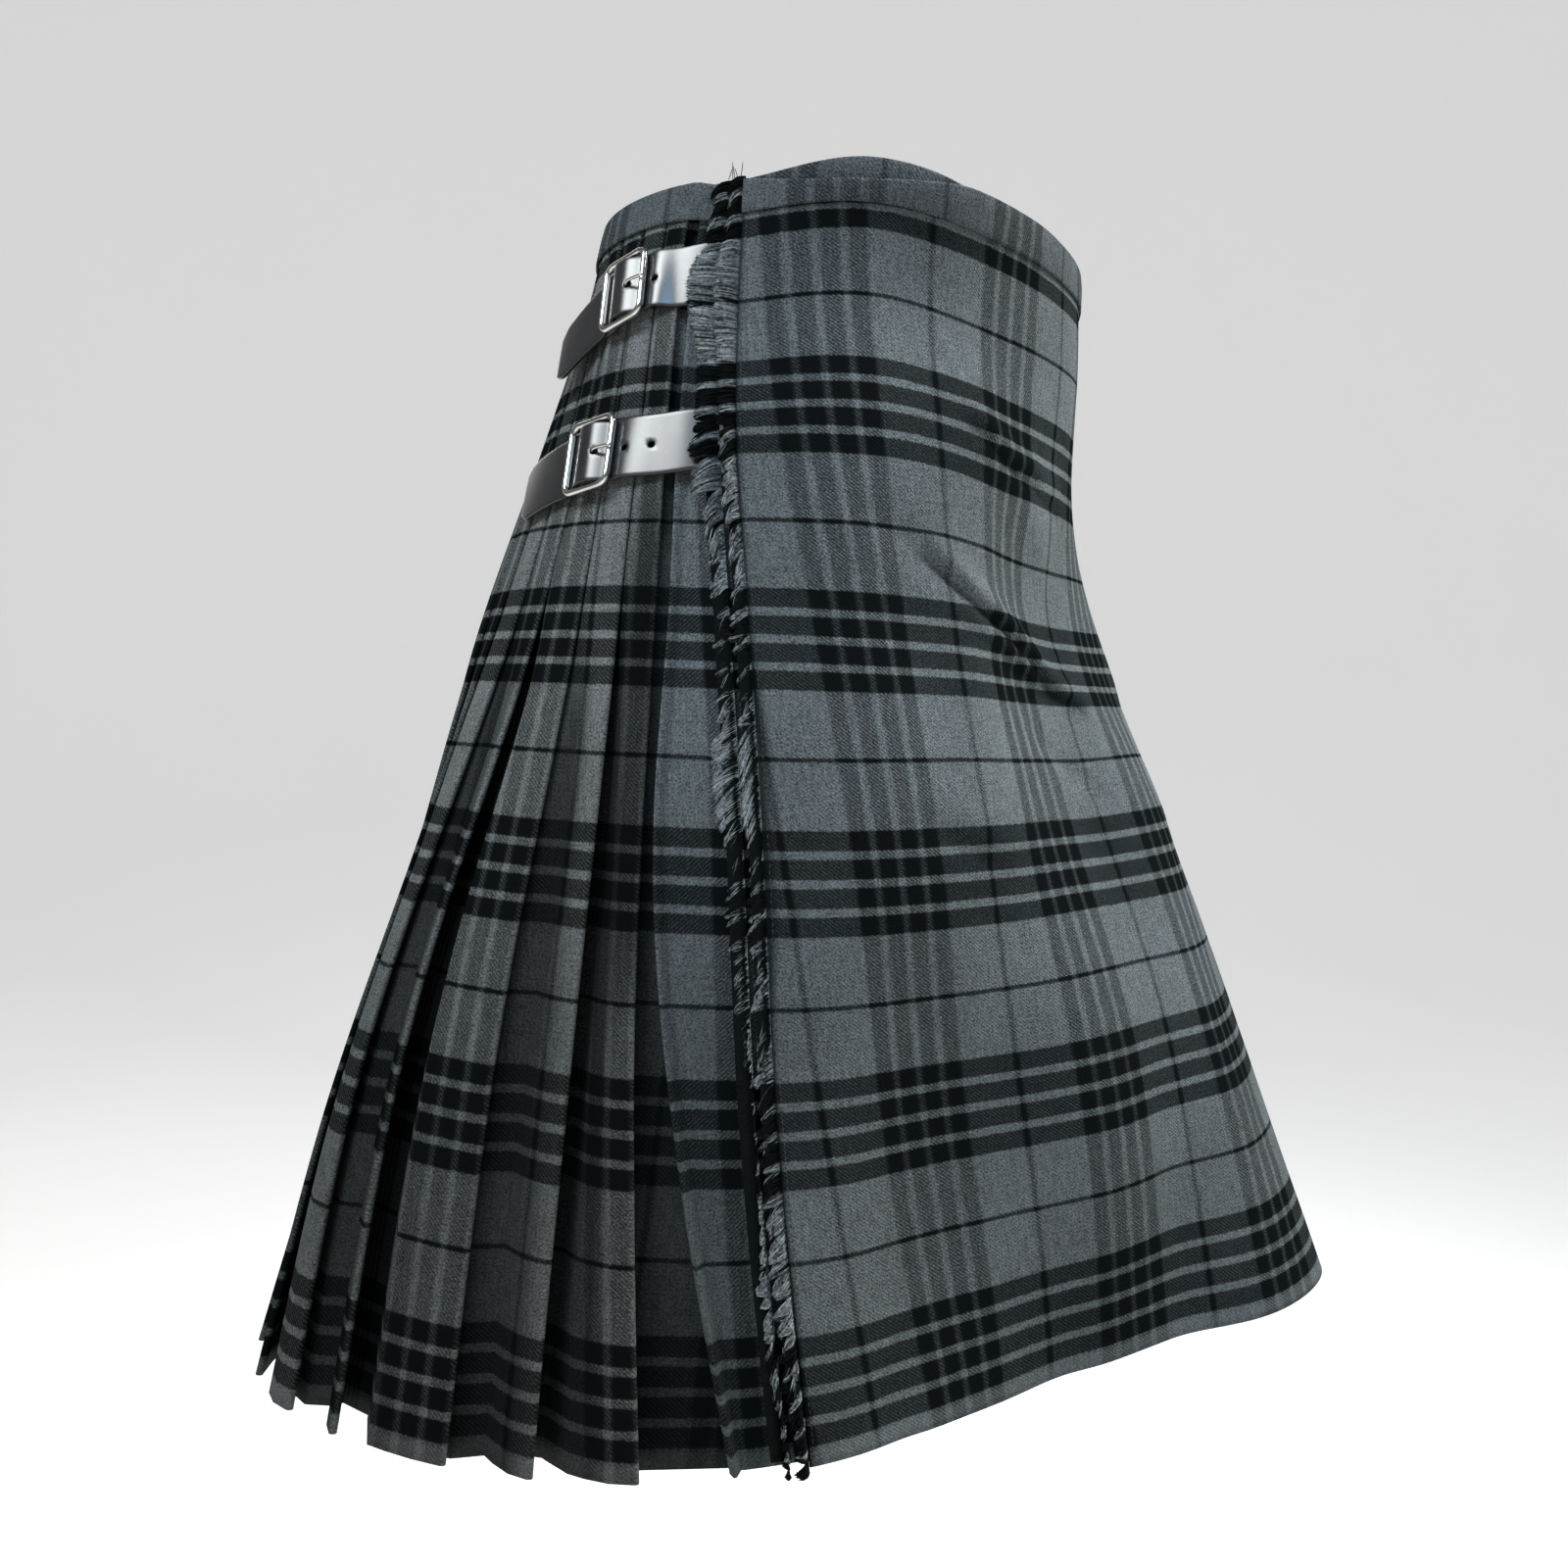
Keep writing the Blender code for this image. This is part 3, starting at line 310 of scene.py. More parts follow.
@dataclass(frozen=True)
class Cut:
    """Sizes that the pieces share, in mm."""

    cloth: float = 1.2
    layer: float = 1.8
    panel_top: float = 1.6
    band_tall: float = 20.0
    band_wall: float = 1.0
    band_row: float = 22.0
    # where the two aprons' top edges part: middle arc, half width, and depth or height
    sag: tuple = (50.0, 75.0, 8.6)
    peek: tuple = (78.0, 84.0, 5.3)
    sag_ramp: float = 0.9
    apron_left: float = 97.0
    apron_turn: float = 26.0
    under_left: float = 66.0
    under_level: float = -7.0
    slit_bearing: float = 84.0
    slit_wide: float = 9.4
    slit_tall: float = 37.0
    side_turn: float = 24.0
    side_rise: float = 3.2
    # how far behind the cut edge the flat pleat and pleat 1 fold: drop, flat pleat, pleat 1
    side_pleat: tuple = (
        (0, 26, 32), (105, 30, 35), (215, 39, 46), (330, 52, 58), (480, 46, 67), (620, 35, 79),
    )
    pleats: int = 24
    # width of the pleats that show first: at the fell, half way and at the hem
    first_pleats: tuple = (
        (18, 26, 48), (23, 36, 41), (27, 50, 60), (21, 32, 33), (22, 34, 44), (22, 34, 45),
    )
    half_way: float = 385.0
    below_hem: float = 15.0
    waist_share: float = 0.78
    last_gap: float = 4.0
    # how uneven the other pleats are at the hem: share, then turn a pleat and start
    uneven: tuple = (0.16, 2.4, 0.7)
    pleat_lift: tuple = ((0, 3.7), (215, 3.8), (290, 7.0), (400, 11.0), (620, 15.5))
    lift_shares: tuple = (0.9, 1.35, 0.5, 1.5, 0.6, 1.1, 0.8)
    dart_drop: float = 141.0
    loose_drop: float = 290.0
    pleat_depth: float = 0.68
    sett: float = 113.5

    @property
    def back_end(self) -> float:
        """Bearing where the back panel meets the over apron's left edge."""
        return self.apron_left - 360.0

    def sagging(self, arcs: np.ndarray, stretch: tuple) -> np.ndarray:
        """Depth of a dip or rise at these arcs; it is level in the middle of its stretch.

        Args:
            arcs: places along the cloth.
            stretch: middle, half width and depth of the dip.

        Returns:
            Depth in mm at each place.
        """
        middle, half, deep = stretch
        away = np.abs(np.asarray(arcs, float) - middle) / half
        away = np.clip((away - 1.0 + self.sag_ramp) / self.sag_ramp, 0.0, 1.0)
        return deep * 0.5 * (1 + np.cos(np.pi * away))

    def side_folds(self, drop: float) -> tuple[float, float]:
        """How far behind the apron's edge the flat pleat's fold and pleat 1's fold lie."""
        return column(self.side_pleat, 1, drop), column(self.side_pleat, 2, drop)

    def pleat_edges(self, drop: float) -> list[float]:
        """How far behind the apron's edge each pleat's fold lies.

        Args:
            drop: the row.

        Returns:
            One distance in mm a pleat.
        """
        edges = [self.side_folds(drop)[1]]
        knots = (0, FALL.fell, self.half_way, FALL.hem + self.below_hem)
        for fell, middle, low in self.first_pleats:
            values = (fell * self.waist_share, fell, middle, low)
            edges.append(edges[-1] + float(smooth(knots, values, [drop])[0]))
        left = self.pleats - len(self.first_pleats)
        room = -FALL.arc_of(drop, self.back_end) - self.last_gap - edges[-1]
        share, turn, start = self.uneven
        sway = ease(FALL.fell, FALL.hem, drop)
        shares = [1 + share * sway * math.sin(turn * k + start) for k in range(left)]
        for share in shares:
            edges.append(edges[-1] + room * share / sum(shares))
        return edges


CUT = Cut()


# ---- meshes --------------------------------------------------------------------------------------
def finished(name: str, shape: bmesh.types.BMesh, finish: "Finish") -> bpy.types.Object:
    """Turn a bmesh into a smoothly shaded object in the scene.

    Args:
        name: the piece's name.
        shape: its mesh, freed here.
        finish: what it is made of.

    Returns:
        The object, at the origin.
    """
    for face in shape.faces:
        face.smooth = True
    mesh = bpy.data.meshes.new(name)
    shape.to_mesh(mesh)
    shape.free()
    mesh.materials.append(finish.material())
    made = bpy.data.objects.new(name, mesh)
    bpy.context.scene.collection.objects.link(made)
    log.info("%s: %d faces", name, len(mesh.polygons))
    return made


def grid(points: np.ndarray, uvs: np.ndarray, tones: np.ndarray | None = None) -> bmesh.types.BMesh:
    """A grid surface with its vertices laid at the given places.

    Args:
        points: rows by columns by x, y, z in metres.
        uvs: rows by columns by u, v in metres along the cloth.
        tones: rows by columns of the "tone" attribute, which holds painted shade from 0 to 1; 0 unless given.

    Returns:
        The open surface, its faces turned outwards for rows that run down and columns that run
        towards the wearer's left.
    """
    rows, cols = points.shape[:2]
    shape = bmesh.new()
    bmesh.ops.create_grid(shape, x_segments=cols - 1, y_segments=rows - 1, size=0.5)
    layer = shape.loops.layers.uv.new("cloth")
    tone = shape.verts.layers.float.new("tone")
    flat_points = points.reshape(-1, 3)
    flat_uvs = uvs.reshape(-1, 2)
    where = []
    for vert in shape.verts:
        col = round((vert.co.x + 0.5) * (cols - 1))
        row = round((vert.co.y + 0.5) * (rows - 1))
        where.append(row * cols + col)
    for vert, at in zip(shape.verts, where):
        vert.co = flat_points[at]
        if tones is not None:
            vert[tone] = float(tones.reshape(-1)[at])
    shape.verts.index_update()
    for face in shape.faces:
        for loop in face.loops:
            loop[layer].uv = flat_uvs[where[loop.vert.index]]
    bmesh.ops.reverse_faces(shape, faces=shape.faces)
    return shape


def thicken(piece: bpy.types.Object, wall: float) -> None:
    """Give a sheet its thickness, in mm, half on each side.

    Args:
        piece: the sheet.
        wall: its thickness.
    """
    made = piece.modifiers.new("wall", "SOLIDIFY")
    made.thickness = wall * MM
    made.offset = 0.0
    made.use_quality_normals = True


def tubes(paths: np.ndarray, radii: np.ndarray, uvs: np.ndarray, sides: int = 4) -> bmesh.types.BMesh:
    """Many separate tapering strands in one mesh.

    Args:
        paths: strands by stations by x, y, z in metres.
        radii: strands by stations, in metres; a tip of 0 closes to a point.
        uvs: strands by stations by u, v of the cloth that the yarn comes from.
        sides: faces round a strand.

    Returns:
        The mesh; a strand closes to a point only where its radius is 0.
    """
    count, stations = paths.shape[:2]
    along = np.gradient(paths, axis=1)
    along /= np.maximum(np.linalg.norm(along, axis=2, keepdims=True), 1e-9)
    up = np.where(np.abs(along[..., 2:]) > 0.8, np.array([1.0, 0.0, 0.0]), np.array([0.0, 0.0, 1.0]))
    across = np.cross(along, up)
    across /= np.maximum(np.linalg.norm(across, axis=2, keepdims=True), 1e-9)
    other = np.cross(along, across)
    turns = 2 * np.pi * np.arange(sides + 1) / sides
    places = (
        paths[:, :, None]
        + radii[:, :, None, None] * np.cos(turns)[None, None, :, None] * across[:, :, None]
        + radii[:, :, None, None] * np.sin(turns)[None, None, :, None] * other[:, :, None]
    )
    flat_uvs = np.repeat(uvs[:, :, None], sides + 1, axis=2)
    rings = (count * stations, sides + 1)
    shape = grid(places.reshape(*rings, 3), flat_uvs.reshape(*rings, 2))
    strand = shape.verts.layers.int.new("strand")
    shape.verts.ensure_lookup_table()
    size = stations * (sides + 1)
    for vert in shape.verts:
        vert[strand] = vert.index // size
    between = [f for f in shape.faces if len({v[strand] for v in f.verts}) > 1]
    bmesh.ops.delete(shape, geom=between, context="FACES")
    bmesh.ops.remove_doubles(shape, verts=shape.verts, dist=2e-7)
    bmesh.ops.recalc_face_normals(shape, faces=shape.faces)
    return shape


def rod(
    stations: Sequence[np.ndarray], normal: Vector, radius: float, closed: bool, segments: int = 12
) -> bmesh.types.BMesh:
    """A round rod drawn through stations that lie in one plane, made by extruding a circle.

    Args:
        stations: places in metres.
        normal: the plane's normal.
        radius: the rod's radius in mm.
        closed: whether the last station joins the first.
        segments: faces round the rod.

    Returns:
        The closed rod.
    """
    shape = bmesh.new()
    frames = []
    count = len(stations)
    for k, place in enumerate(stations):
        before = stations[k - 1] if k or closed else place
        after = stations[(k + 1) % count] if k + 1 < count or closed else place
        along = Vector(after - before).normalized()
        across = normal.cross(along).normalized()
        turn = Matrix((across, normal, along)).transposed().to_4x4()
        frames.append(Matrix.Translation(Vector(place)) @ turn)
    made = bmesh.ops.create_circle(
        shape, cap_ends=not closed, segments=segments, radius=radius * MM, matrix=frames[0]
    )
    ring = list(dict.fromkeys(e for v in made["verts"] for e in v.link_edges if len(e.link_faces) < 2))
    first = ring
    for before, after in zip(frames, frames[1:]):
        grown = bmesh.ops.extrude_edge_only(shape, edges=ring)["geom"]
        verts = [g for g in grown if isinstance(g, bmesh.types.BMVert)]
        ring = [g for g in grown if isinstance(g, bmesh.types.BMEdge) and all(v in verts for v in g.verts)]
        bmesh.ops.transform(shape, matrix=after @ before.inverted(), verts=verts)
    if closed:
        bmesh.ops.bridge_loops(shape, edges=ring + first)
    else:
        bmesh.ops.holes_fill(shape, edges=ring, sides=segments + 1)
    bmesh.ops.recalc_face_normals(shape, faces=shape.faces)
    return shape


def stand_in(piece: bpy.types.Object, node: str) -> None:
    """Put a piece in its solid's place, on the garment's one body.

    Args:
        piece: the piece.
        node: the solid's name.
    """
    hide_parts(node)
    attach(piece, "root")


def together(shapes: Sequence[bmesh.types.BMesh]) -> bmesh.types.BMesh:
    """Join several bmeshes into the first.

    Args:
        shapes: the bmeshes; all but the first are freed.

    Returns:
        The first.
    """
    whole = shapes[0]
    for shape in shapes[1:]:
        mesh = bpy.data.meshes.new("part")
        shape.to_mesh(mesh)
        shape.free()
        whole.from_mesh(mesh)
        bpy.data.meshes.remove(mesh)
    return whole


# ---- shader arithmetic ---------------------------------------------------------------------------
class Wire:
    """A node's output that takes part in arithmetic; each operator adds a Math node."""

    def __init__(self, board: "Board", socket: bpy.types.NodeSocket) -> None:
        """Keep the socket and the board that it is on."""
        self.board = board
        self.socket = socket

    def maths(self, operation: str, *others: "Wire | float") -> "Wire":
        """Add a Math node with this wire as its first input."""
        return self.board.maths(operation, self, *others)

    def __add__(self, other: "Wire | float") -> "Wire":
        """self + other."""
        return self.maths("ADD", other)

    __radd__ = __add__

    def __sub__(self, other: "Wire | float") -> "Wire":
        """self - other."""
        return self.maths("SUBTRACT", other)

    def __rsub__(self, other: float) -> "Wire":
        """other - self."""
        return self.board.maths("SUBTRACT", other, self)

    def __mul__(self, other: "Wire | float") -> "Wire":
        """self * other."""
        return self.maths("MULTIPLY", other)

    __rmul__ = __mul__

    def __truediv__(self, other: "Wire | float") -> "Wire":
        """self / other."""
        return self.maths("DIVIDE", other)

    def __rtruediv__(self, other: float) -> "Wire":
        """other / self."""
        return self.board.maths("DIVIDE", other, self)

    def __lt__(self, other: "Wire | float") -> "Wire":
        """1 where self is less than other, else 0."""
        return self.maths("LESS_THAN", other)

    def __gt__(self, other: "Wire | float") -> "Wire":
        """1 where self is more than other, else 0."""
        return self.maths("GREATER_THAN", other)

    def __mod__(self, other: float) -> "Wire":
        """self modulo other, never below 0."""
        return self.maths("FLOORED_MODULO", other)

    def floor(self) -> "Wire":
        """The whole number at or under self."""
        return self.maths("FLOOR")

    def wave(self, half: float) -> "Wire":
        """Distance to the nearest even multiple of half."""
        return self.maths("PINGPONG", half)

    def held(self) -> "Wire":
        """self kept between 0 and 1."""
        return self.maths("MAXIMUM", 0.0).maths("MINIMUM", 1.0)


class Board:
    """A material and the nodes that are added to it."""

    def __init__(self, name: str) -> None:
        """Start a material with its Principled shader."""
        self.material = bpy.data.materials.new(name)
        self.material.use_nodes = True
        self.tree = self.material.node_tree
        self.shader = self.tree.nodes["Principled BSDF"]

    def node(self, kind: str, settings: dict | None = None, inputs: dict | None = None) -> bpy.types.Node:
        """Add a node.

        Args:
            kind: the node's type.
            settings: its own settings, and "stops" for a ramp, set before its inputs.
            inputs: values or wires of its inputs, by name or number.

        Returns:
            The node.
        """
        made = self.tree.nodes.new(kind)
        for key, value in (settings or {}).items():
            if key == "stops":
                self.fill_ramp(made.color_ramp, value)
            else:
                setattr(made, key, value)
        for key, value in (inputs or {}).items():
            self.feed(made.inputs[key], value)
        return made

    @staticmethod
    def fill_ramp(ramp: bpy.types.ColorRamp, stops: Sequence[tuple[float, float]]) -> None:
        """Give a ramp steps of grey.

        Args:
            ramp: the ramp.
            stops: place and grey of each step.
        """
        while len(ramp.elements) < len(stops):
            ramp.elements.new(1.0)
        for element, (place, grey) in zip(ramp.elements, stops):
            element.position = place
            element.color = (grey, grey, grey, 1.0)

    def feed(self, socket: bpy.types.NodeSocket, value: "Wire | float | tuple") -> None:
        """Set or link one input.

        Args:
            socket: the input.
            value: its value, or the wire that feeds it.
        """
        if isinstance(value, Wire):
            self.tree.links.new(value.socket, socket)
        else:
            socket.default_value = value

    def wire(self, node: bpy.types.Node, output: int | str = 0) -> Wire:
        """One output of a node."""
        return Wire(self, node.outputs[output])

    def maths(self, operation: str, *values: "Wire | float") -> Wire:
        """Add a Math node over these values."""
        made = self.node("ShaderNodeMath", {"operation": operation}, dict(enumerate(values)))
        return self.wire(made)

    def mix(self, share: "Wire | float", low: "Wire | tuple", high: "Wire | tuple") -> Wire:
        """Mix two colours."""
        return self.wire(self.node("ShaderNodeMix", {"data_type": "RGBA"}, {0: share, 6: low, 7: high}), 2)

    def noise(self, vector: Wire, scale: float, detail: float = 2.0, roughness: float = 0.5) -> Wire:
        """Noise from 0 to 1 at a place."""
        inputs = {"Vector": vector, "Scale": scale, "Detail": detail, "Roughness": roughness}
        return self.wire(self.node("ShaderNodeTexNoise", None, inputs))

    def vector(self, x: "Wire | float", y: "Wire | float", z: "Wire | float" = 0.0) -> Wire:
        """A vector of three values."""
        return self.wire(self.node("ShaderNodeCombineXYZ", None, {0: x, 1: y, 2: z}))

    def cloth_place(self) -> tuple[Wire, Wire]:
        """u and v along the cloth, in mm."""
        place = self.node("ShaderNodeUVMap", {"uv_map": "cloth"})
        parts = self.node("ShaderNodeSeparateXYZ", None, {0: self.wire(place)})
        return self.wire(parts, 0) * 1000.0, self.wire(parts, 1) * 1000.0

    def object_place(self) -> Wire:
        """The place on the piece, in metres."""
        return self.wire(self.node("ShaderNodeTexCoord"), "Object")

    def bump(self, height: Wire, distance: float, strength: float = 1.0) -> None:
        """Raise the surface by a height, its full step `distance` mm.

        Args:
            height: the height, from 0 to 1.
            distance: mm of a full step.
            strength: how much of it is used.
        """
        made = self.node(
            "ShaderNodeBump", None, {"Height": height, "Distance": distance * MM, "Strength": strength}
        )
        self.feed(self.shader.inputs["Normal"], self.wire(made))

    def finish(self, **values: "Wire | float | tuple") -> bpy.types.Material:
        """Set the shader's sockets and hand over the material.

        Args:
            values: a value or wire for each socket, by the socket's name.

        Returns:
            The material.
        """
        for key, value in values.items():
            self.feed(self.shader.inputs[key.replace("_", " ").title().replace("Ior", "IOR")], value)
        return self.material


# ---- finishes ------------------------------------------------------------------------------------
WOOL_ROUGHNESS = 0.92


class Finish:
    """Something a piece is made of; its material is made once."""

    made: ClassVar[dict] = {}

    def build(self) -> bpy.types.Material:
        """Make the material."""
        raise NotImplementedError

    def material(self) -> bpy.types.Material:
        """The material, made when first asked for."""
        if self not in self.made:
            self.made[self] = self.build()
        return self.made[self]


@dataclass(frozen=True)
class Tartan(Finish):
    """A grey and black check in a two-and-two twill, woven from heathered wool.

    The colours lie on the cloth's own u and v, so the check follows every fold.
    """

    name: str = "tartan"
    grey: tuple = (0.112, 0.13, 0.135, 1.0)
    black: tuple = (0.0035, 0.0045, 0.0048, 1.0)
    soot: tuple = (0.007, 0.0085, 0.009, 1.0)
    sett: float = CUT.sett
    weft_centre: float = 8.45
    warp_pitch: float = 0.6
    weft_pitch: float = 0.5
    warp_share: float = 0.345
    float_share: float = 0.22
    # darkening of half-black checks, as a power
    depth: float = 1.85
    weft_bands: bool = True
    # bands of the check from the middle of a black one: place of each change, and its new shade
    bands: tuple = ((2.0, 1.0), (11.1, 0.0), (15.05, 1.0), (24.15, 0.0))
    # softness and thin line's width of the stripes along the cloth and across it
    warp_stripe: tuple = (2.2, 3.2)
    weft_stripe: tuple = (0.7, 2.1)
    selvedge: float = 602.0
    selvedge_share: float = 0.22
    shadow_share: float = 0.85

    def stripes(self, board: Board, place: Wire, centre: float, soft: float, thin: float) -> Wire:
        """1 on black threads: four bands a sett with pale lines between, and one thin line.

        Args:
            board: where its nodes go.
            place: mm across the stripes.
            centre: place of the middle of a black band.
            soft: mm over which a stripe fades.
            thin: width of the thin line.

        Returns:
            The mask.
        """
        half = self.sett / 2
        stops = []
        for at, grey in (*self.bands, (half - thin / 2, 1.0)):
            stops += [((at - soft / 2) / half, 1.0 - grey), ((at + soft / 2) / half, grey)]
        away = (place - centre).wave(half) / half
        return board.wire(board.node("ShaderNodeValToRGB", {"stops": stops}, {0: away}))

    def build(self) -> bpy.types.Material:
        """Weave the threads, then their colours and ribs.

        Returns:
            The material.
        """
        board = Board(self.name)
        u, v = board.cloth_place()
        stray = board.noise(board.vector(u * 0.5, v * 0.5), 1.0, 1.0) - 0.5
        warp = ((u + stray * 1.5) / self.warp_pitch).floor()
        weft = ((v + stray * 1.2) / self.weft_pitch).floor()
        over = ((warp - weft) % 4.0) < 1.5
        warp_black = self.stripes(board, (warp + 0.5) * self.warp_pitch, 0.0, *self.warp_stripe)
        weft_black = self.stripes(board, (weft + 0.5) * self.weft_pitch, self.weft_centre, *self.weft_stripe)
        if not self.weft_bands:
            weft_black = weft_black * 0.0
        patch = board.noise(board.vector(u * 0.014, v * 0.011), 1.0, 2.0)
        speck = board.noise(board.vector(u * 0.95, v * 1.05), 1.0, 3.0, 0.75)
        share = over * self.float_share + (patch - 0.5) * 0.2 + (self.warp_share - self.float_share / 2)
        light = (1.0 - warp_black * share - weft_black * (1.0 - share)).held()
        tone = (light.maths("POWER", self.depth) * ((speck - 0.5) * 2.4 + 1.0)).held()
        # each yarn is heathered along its own length, and thickens here and there
        along = over * (v * 0.45) + (1.0 - over) * (u * 0.45)
        across = over * (warp * 3.7) + (1.0 - over) * (weft * 5.3 + 400.0)
        heather = board.noise(board.vector(across, along), 1.0, 1.0)
        slub = board.noise(board.vector(u * 0.55, v * 0.09), 1.0, 2.0)
        slub_weft = board.noise(board.vector(u * 0.1, v * 0.6), 1.0, 2.0)
        lift = (heather - 0.5) * 0.8 + (speck - 0.5) * 2.7 + (patch - 0.5) * 0.5
        lift = lift + (slub - 0.5) * 0.75 + (slub_weft - 0.5) * 0.5
        grey = board.mix((0.5 + lift).held(), self.shade(0.36), self.shade(1.64))
        dark = board.mix((heather * 0.9 + speck - 0.45).held(), self.black, self.soot)
        colour = board.mix(tone, dark, grey)
        colour = board.mix((v > self.selvedge) * self.selvedge_share, colour, self.shade(1.3))
        # the attribute "tone" holds painted shade, 1 in the deepest folds; it darkens the cloth towards black
        shadow = board.wire(board.node("ShaderNodeAttribute", {"attribute_name": "tone"}), "Fac")
        colour = board.mix((shadow * self.shadow_share).held(), colour, self.black)
        rib = ((u / self.warp_pitch - v / self.weft_pitch) * (math.pi / 2)).maths("SINE")
        board.bump(rib * 0.4 + heather * 0.6 + speck * 1.4, 0.25, 0.6)
        return board.finish(base_color=colour, roughness=WOOL_ROUGHNESS, specular_ior_level=0.0)

    def shade(self, times: float) -> tuple:
        """The grey made lighter or darker."""
        return (self.grey[0] * times, self.grey[1] * times, self.grey[2] * times, 1.0)


@dataclass(frozen=True)
class Yarn(Finish):
    """Loose wool yarn, black or grey as the threads it was teased out of."""

    name: str = "fringe_yarn"
    grey: tuple = (0.045, 0.053, 0.056, 1.0)
    pale: tuple = (0.34, 0.38, 0.385, 1.0)
    black: tuple = (0.003, 0.0035, 0.0035, 1.0)
    soot: tuple = (0.014, 0.016, 0.016, 1.0)
    stripe: tuple = (1.0, 2.4)

    def build(self) -> bpy.types.Material:
        """Colour each strand by the drop that it starts from.

        Returns:
            The material.
        """
        board = Board(self.name)
        u, v = board.cloth_place()
        weave = Tartan()
        black = weave.stripes(board, v, weave.weft_centre, *self.stripe)
        fibre = board.noise(board.object_place(), 700.0, 2.0)
        strand = board.noise(board.vector(u * 9.0, v * 1.3), 1.0, 1.0)
        grey = board.mix(((fibre - 0.5) * 2.0 + (strand - 0.5) * 3.0 + 0.45).held(), self.grey, self.pale)
        colour = board.mix(black, grey, board.mix(fibre * 0.7, self.black, self.soot))
        board.bump(fibre, 0.15, 0.6)
        return board.finish(base_color=colour, roughness=WOOL_ROUGHNESS, specular_ior_level=0.0)


@dataclass(frozen=True)
class Leather(Finish):
    """Belt leather, with pores, fine creases and a worn edge."""

    name: str = "strap_leather"
    colour: tuple = (0.01, 0.01, 0.011, 1.0)
    worn: tuple = (0.024, 0.023, 0.023, 1.0)
    roughness: float = 0.3
    grain: float = 0.2
    coat: float = 1.0

    def build(self) -> bpy.types.Material:
        """Pebble the surface and let the gloss vary.

        Returns:
            The material.
        """
        board = Board(self.name)
        place = board.object_place()
        sizes = {"Vector": place, "Scale": 1500.0, "Smoothness": 0.6}
        pores = board.wire(board.node("ShaderNodeTexVoronoi", {"feature": "SMOOTH_F1"}, sizes))
        crease = board.noise(place, 260.0, 4.0, 0.6)
        cloud = board.noise(place, 60.0, 3.0)
        colour = board.mix((cloud * 1.4 - 0.3).held(), self.colour, self.worn)
        board.bump(pores * 0.5 + crease * 0.7, 0.12, self.grain)
        rough = (self.roughness + (crease - 0.5) * 0.16 + (cloud - 0.5) * 0.14).held()
        return board.finish(
            base_color=colour, roughness=rough, coat_weight=self.coat, coat_roughness=0.26,
            specular_ior_level=0.3,
        )


@dataclass(frozen=True)
class Nickel(Finish):
    """Polished nickel plate with faint rubbing marks."""

    name: str = "buckle_metal"
    colour: tuple = (0.83, 0.82, 0.79, 1.0)
    dull: tuple = (0.62, 0.60, 0.56, 1.0)

    def build(self) -> bpy.types.Material:
        """Polish, with fine scratches in the gloss.

        Returns:
            The material.
        """
        board = Board(self.name)
        place = board.object_place()
        rub = board.noise(place, 420.0, 3.0)
        cloud = board.noise(place, 90.0, 2.0)
        colour = board.mix((cloud * 1.3 - 0.35).held(), self.colour, self.dull)
        board.bump(rub, 0.02, 0.25)
        return board.finish(base_color=colour, metallic=1.0, roughness=0.1 + rub * 0.16)


@dataclass(frozen=True)
class Thread(Finish):
    """Waxed sewing thread with a twist."""

    name: str = "black_thread"
    colour: tuple = (0.006, 0.006, 0.006, 1.0)
    lit: tuple = (0.03, 0.03, 0.032, 1.0)

    def build(self) -> bpy.types.Material:
        """Darken the thread in its twist: painted shade in the grooves the bump makes, painted highlight on
        its ridges.

        Returns:
            The material.
        """
        board = Board(self.name)
        twist = board.noise(board.object_place(), 1600.0, 1.0)
        board.bump(twist, 0.1, 0.5)
        return board.finish(base_color=board.mix(twist, self.colour, self.lit), roughness=0.6)


@dataclass(frozen=True)
class Studio(Finish):
    """The pale floor and backdrop."""

    name: str = "studio_paper"
    colour: tuple = (0.55, 0.55, 0.55, 1.0)
    mottled: tuple = (0.52, 0.52, 0.52, 1.0)
    glow: float = 0.55

    def build(self) -> bpy.types.Material:
        """Matt paper with a faint mottle.

        Returns:
            The material.
        """
        board = Board(self.name)
        mottle = board.noise(board.object_place(), 3.0, 2.0)
        return board.finish(
            emission_color=(1.0, 1.0, 1.0, 1.0), emission_strength=self.glow,
            base_color=board.mix(mottle * 0.3, self.colour, self.mottled), roughness=0.9,
        )


# ---- cloth ---------------------------------------------------------------------------------------
APRON_TARTAN = Tartan("apron_tartan")
# the pleats are the aprons' cloth; their lighter grey is painted light
PLEAT_TARTAN = Tartan("pleat_tartan", grey=(0.148, 0.156, 0.154, 1.0))
# the band shows no weft bands; its darker grey is painted shade
BAND_TARTAN = Tartan("band_tartan", weft_bands=False, selvedge=9000.0, grey=(0.087, 0.1, 0.105, 1.0))


def flutter(drop: float, arcs: np.ndarray) -> np.ndarray:
    """The slight unevenness of hanging wool, in mm.

    Args:
        drop: the row.
        arcs: places along it.

    Returns:
        Height at each place.
    """
    loose = ease(120.0, FALL.hem, drop)
    long = np.sin(arcs / 41 + drop / 130) + 0.7 * np.sin(arcs / 23 - drop / 71 + 1.3)
    short = np.sin(arcs / 9.5 + drop / 37 + 0.4) * np.sin(drop / 16 - arcs / 60)
    return (0.25 + 0.9 * loose) * long * 0.45 + 0.12 * short


def area_of(points: np.ndarray) -> float:
    """Area of a grid of places, in square metres."""
    down, along = np.diff(points, axis=0)[:, :-1], np.diff(points, axis=1)[:-1]
    return float(np.linalg.norm(np.cross(down, along), axis=2).sum())


